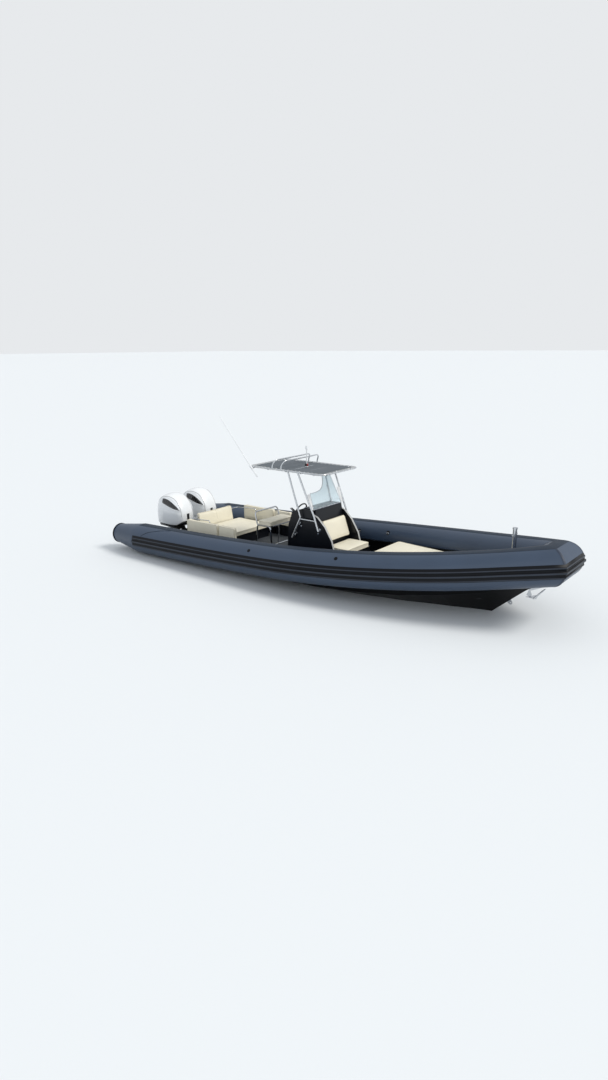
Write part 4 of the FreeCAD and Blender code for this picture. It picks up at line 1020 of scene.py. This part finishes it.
# Free edge of the clear screen: y, and share of its height
SCREEN_EDGE = [(-0.485, 0.0), (-0.455, 0.452), (-0.330, 0.447), (-0.200, 0.460), (-0.110, 0.487),
               (-0.045, 0.530), (0.005, 0.595), (0.045, 0.690), (0.070, 0.790), (0.085, 1.0)]
DASH_FOOT, DASH_HEAD = Vector((-0.440, 0, 1.080)), Vector((-0.330, 0, 1.370))
SCREEN_FOOT, SCREEN_HEAD = Vector((0.235, 0, 1.4703)), Vector((-0.022, 0, 2.209))


def build_edging():
    trim = bmesh.new()
    points = [Vector((x, 0, z)) for x, z in WING_EDGE]
    for side in (1, -1):
        rings = []
        for i, point in enumerate(points):
            ahead = (points[min(i + 1, len(points) - 1)] - points[max(i - 1, 0)]).normalized()
            out = Vector((-ahead.z, 0, ahead.x))
            rings.append([point + out * lift + Vector((0, side * y, 0)) for y, lift in EDGING])
        add_skin(trim, rings)
    piece("console_edge_trim", trim, ["grey_edge"], "boat", sharp=50)


def build_dash():
    """Panel with a display, gauges and switches, on the slope in front of the helm."""
    along = (DASH_HEAD - DASH_FOOT).normalized()
    face = Matrix((Vector((0, 1, 0)), along, Vector((-along.z, 0, along.x)))).transposed().to_4x4()

    def on_slope(run, y):
        return Matrix.Translation(DASH_FOOT + along * run + Vector((0, y, 0))) @ face

    dash = bmesh.new()
    add_box(dash, (-0.40, -0.055, -0.004), (0.40, 0.135, 0.006), 0, on_slope(0.155, 0.0))
    display = on_slope(0.205, 0.255)
    add_box(dash, (-0.125, -0.075, 0.0), (0.125, 0.075, 0.016), 0, display)
    add_box(dash, (-0.110, -0.060, 0.0155), (0.110, 0.060, 0.0175), 1, display)
    for y in (0.15, -0.225, -0.30, -0.375):
        spot = on_slope(0.27, y)
        add_skin(dash, [[spot @ Vector((0.024 * math.cos(a), 0.024 * math.sin(a), lift)) for a in turns(16)]
                        for lift in (0, 0.012)], 1)
    for k in range(6):
        add_box(dash, (-0.009, -0.012, 0.0), (0.009, 0.012, 0.010), 1, on_slope(0.075, -0.30 + 0.035 * k))
    piece("helm_dash", dash, ["plastic", "screen_glass"], "boat", bevel=0.003)


def build_cover():
    top = bmesh.new()
    add_skin(top, [[Vector((x, y, z)) for x, z in COVER] for y in (-0.450, 0.450)])
    piece("console_cover", top, ["navy"], "boat", bevel=0.004)


def on_screen(y, share, ahead=-0.004):
    return SCREEN_FOOT + (SCREEN_HEAD - SCREEN_FOOT) * share + Vector((ahead, y, 0.0))


def build_screen_trim():
    """Foot strip with its clips, edge beads, and an upright bar on two studs, on the clear screen."""
    seal = bmesh.new()
    add_rod(seal, [Vector((0.240, y, 1.4835)) for y in (-0.485, -0.25, 0, 0.25, 0.485)], 0.008, 1)
    for y in (-0.40, -0.20, 0.0, 0.20, 0.40):
        add_box(seal, (0.226, y - 0.014, 1.478), (0.250, y + 0.014, 1.502))
    edge = [on_screen(y, share) for y, share in SCREEN_EDGE]
    port_edge = [on_screen(y, share) for y, share in ((0.485, 0.0), (0.360, 0.79), (0.345, 1.0))]
    for line in (edge[:2], spline(edge[1:], 5), port_edge):
        add_rod(seal, line, 0.0055, 1, sides=8)
    add_rod(seal, [on_screen(0.161, 0.09, 0.009), on_screen(0.160, 0.57, 0.009)], 0.009, 1, sides=10)
    for share in (0.12, 0.54):
        add_rod(seal, [on_screen(0.1605, share, -0.014), on_screen(0.1605, share, 0.014)], 0.013, 1, sides=14)
    piece("screen_trim", seal, ["steel", "tubework"], "boat", sharp=50)


def build_leg_bolts():
    """Round feet of the T-top's legs on the console's sides, and the bolts beside them."""
    bolts = bmesh.new()

    def add_stud(x, z, start, end, radius, sides):
        for side in (1, -1):
            add_rod(bolts, [Vector((x, side * y, z)) for y in (start, end)], radius, sides=sides)

    for x, z in ((-0.262, 0.890), (-0.130, 1.150), (0.395, 1.085)):
        add_stud(x, z, 0.5002, 0.506, 0.034, 24)
    for x, z in ((-0.205, 0.935), (-0.085, 1.100), (0.330, 1.150), (0.360, 1.000)):
        add_stud(x, z, 0.4998, 0.512, 0.019, 16)
        add_stud(x, z, 0.512, 0.518, 0.011, 6)
    piece("leg_bolts", bolts, ["steel"], "boat", sharp=40)


build_edging()
build_dash()
build_cover()
build_screen_trim()
build_leg_bolts()


CLEAT_X, CLEAT_Y = -3.75, 1.030
MAST_X = -0.330
# Side lamp of the mast: height, radius
SIDE_LAMP = [(2.276, 0.0110), (2.276, 0.0340), (2.281, 0.0370), (2.322, 0.0370), (2.327, 0.0340),
             (2.327, 0.0110)]


def mast_arc(radius, angles, z):
    return [Vector((MAST_X + radius * math.cos(a), radius * math.sin(a), z)) for a in angles]


def build_boat_fittings():
    """Stern cleats, and the lenses of the mast's side lamp and top lamp."""
    steel = bmesh.new()
    for side in (1, -1):
        y, z = side * CLEAT_Y, sheer_z(CLEAT_X) + 0.004
        horns = [(CLEAT_X + run, y, z + rise) for run, rise in
                 ((-0.11, 0.050), (-0.06, 0.044), (0, 0.042), (0.06, 0.044), (0.11, 0.050))]
        add_rod(steel, spline(horns, 3), 0.010)
        for run in (-0.035, 0.035):
            add_rod(steel, [Vector((CLEAT_X + run, y, z + rise)) for rise in (0, 0.042)], 0.010)
    piece("cleats", steel, ["steel"], "boat", sharp=50)

    lens = bmesh.new()
    for material, start in ((0, -45), (1, 135)):
        angles = [math.radians(start + 180 * k / 16) for k in range(17)]
        add_skin(lens, [mast_arc(radius, angles, z) for z, radius in SIDE_LAMP], material, closed=False)
    bmesh.ops.remove_doubles(lens, verts=lens.verts, dist=1e-5)
    add_skin(lens, [mast_arc(0.0275, turns(24), z) for z in (2.638, 2.688)], 2)
    piece("mast_lenses", lens, ["red", "plastic", "lens"], "boat", sharp=40)


build_boat_fittings()
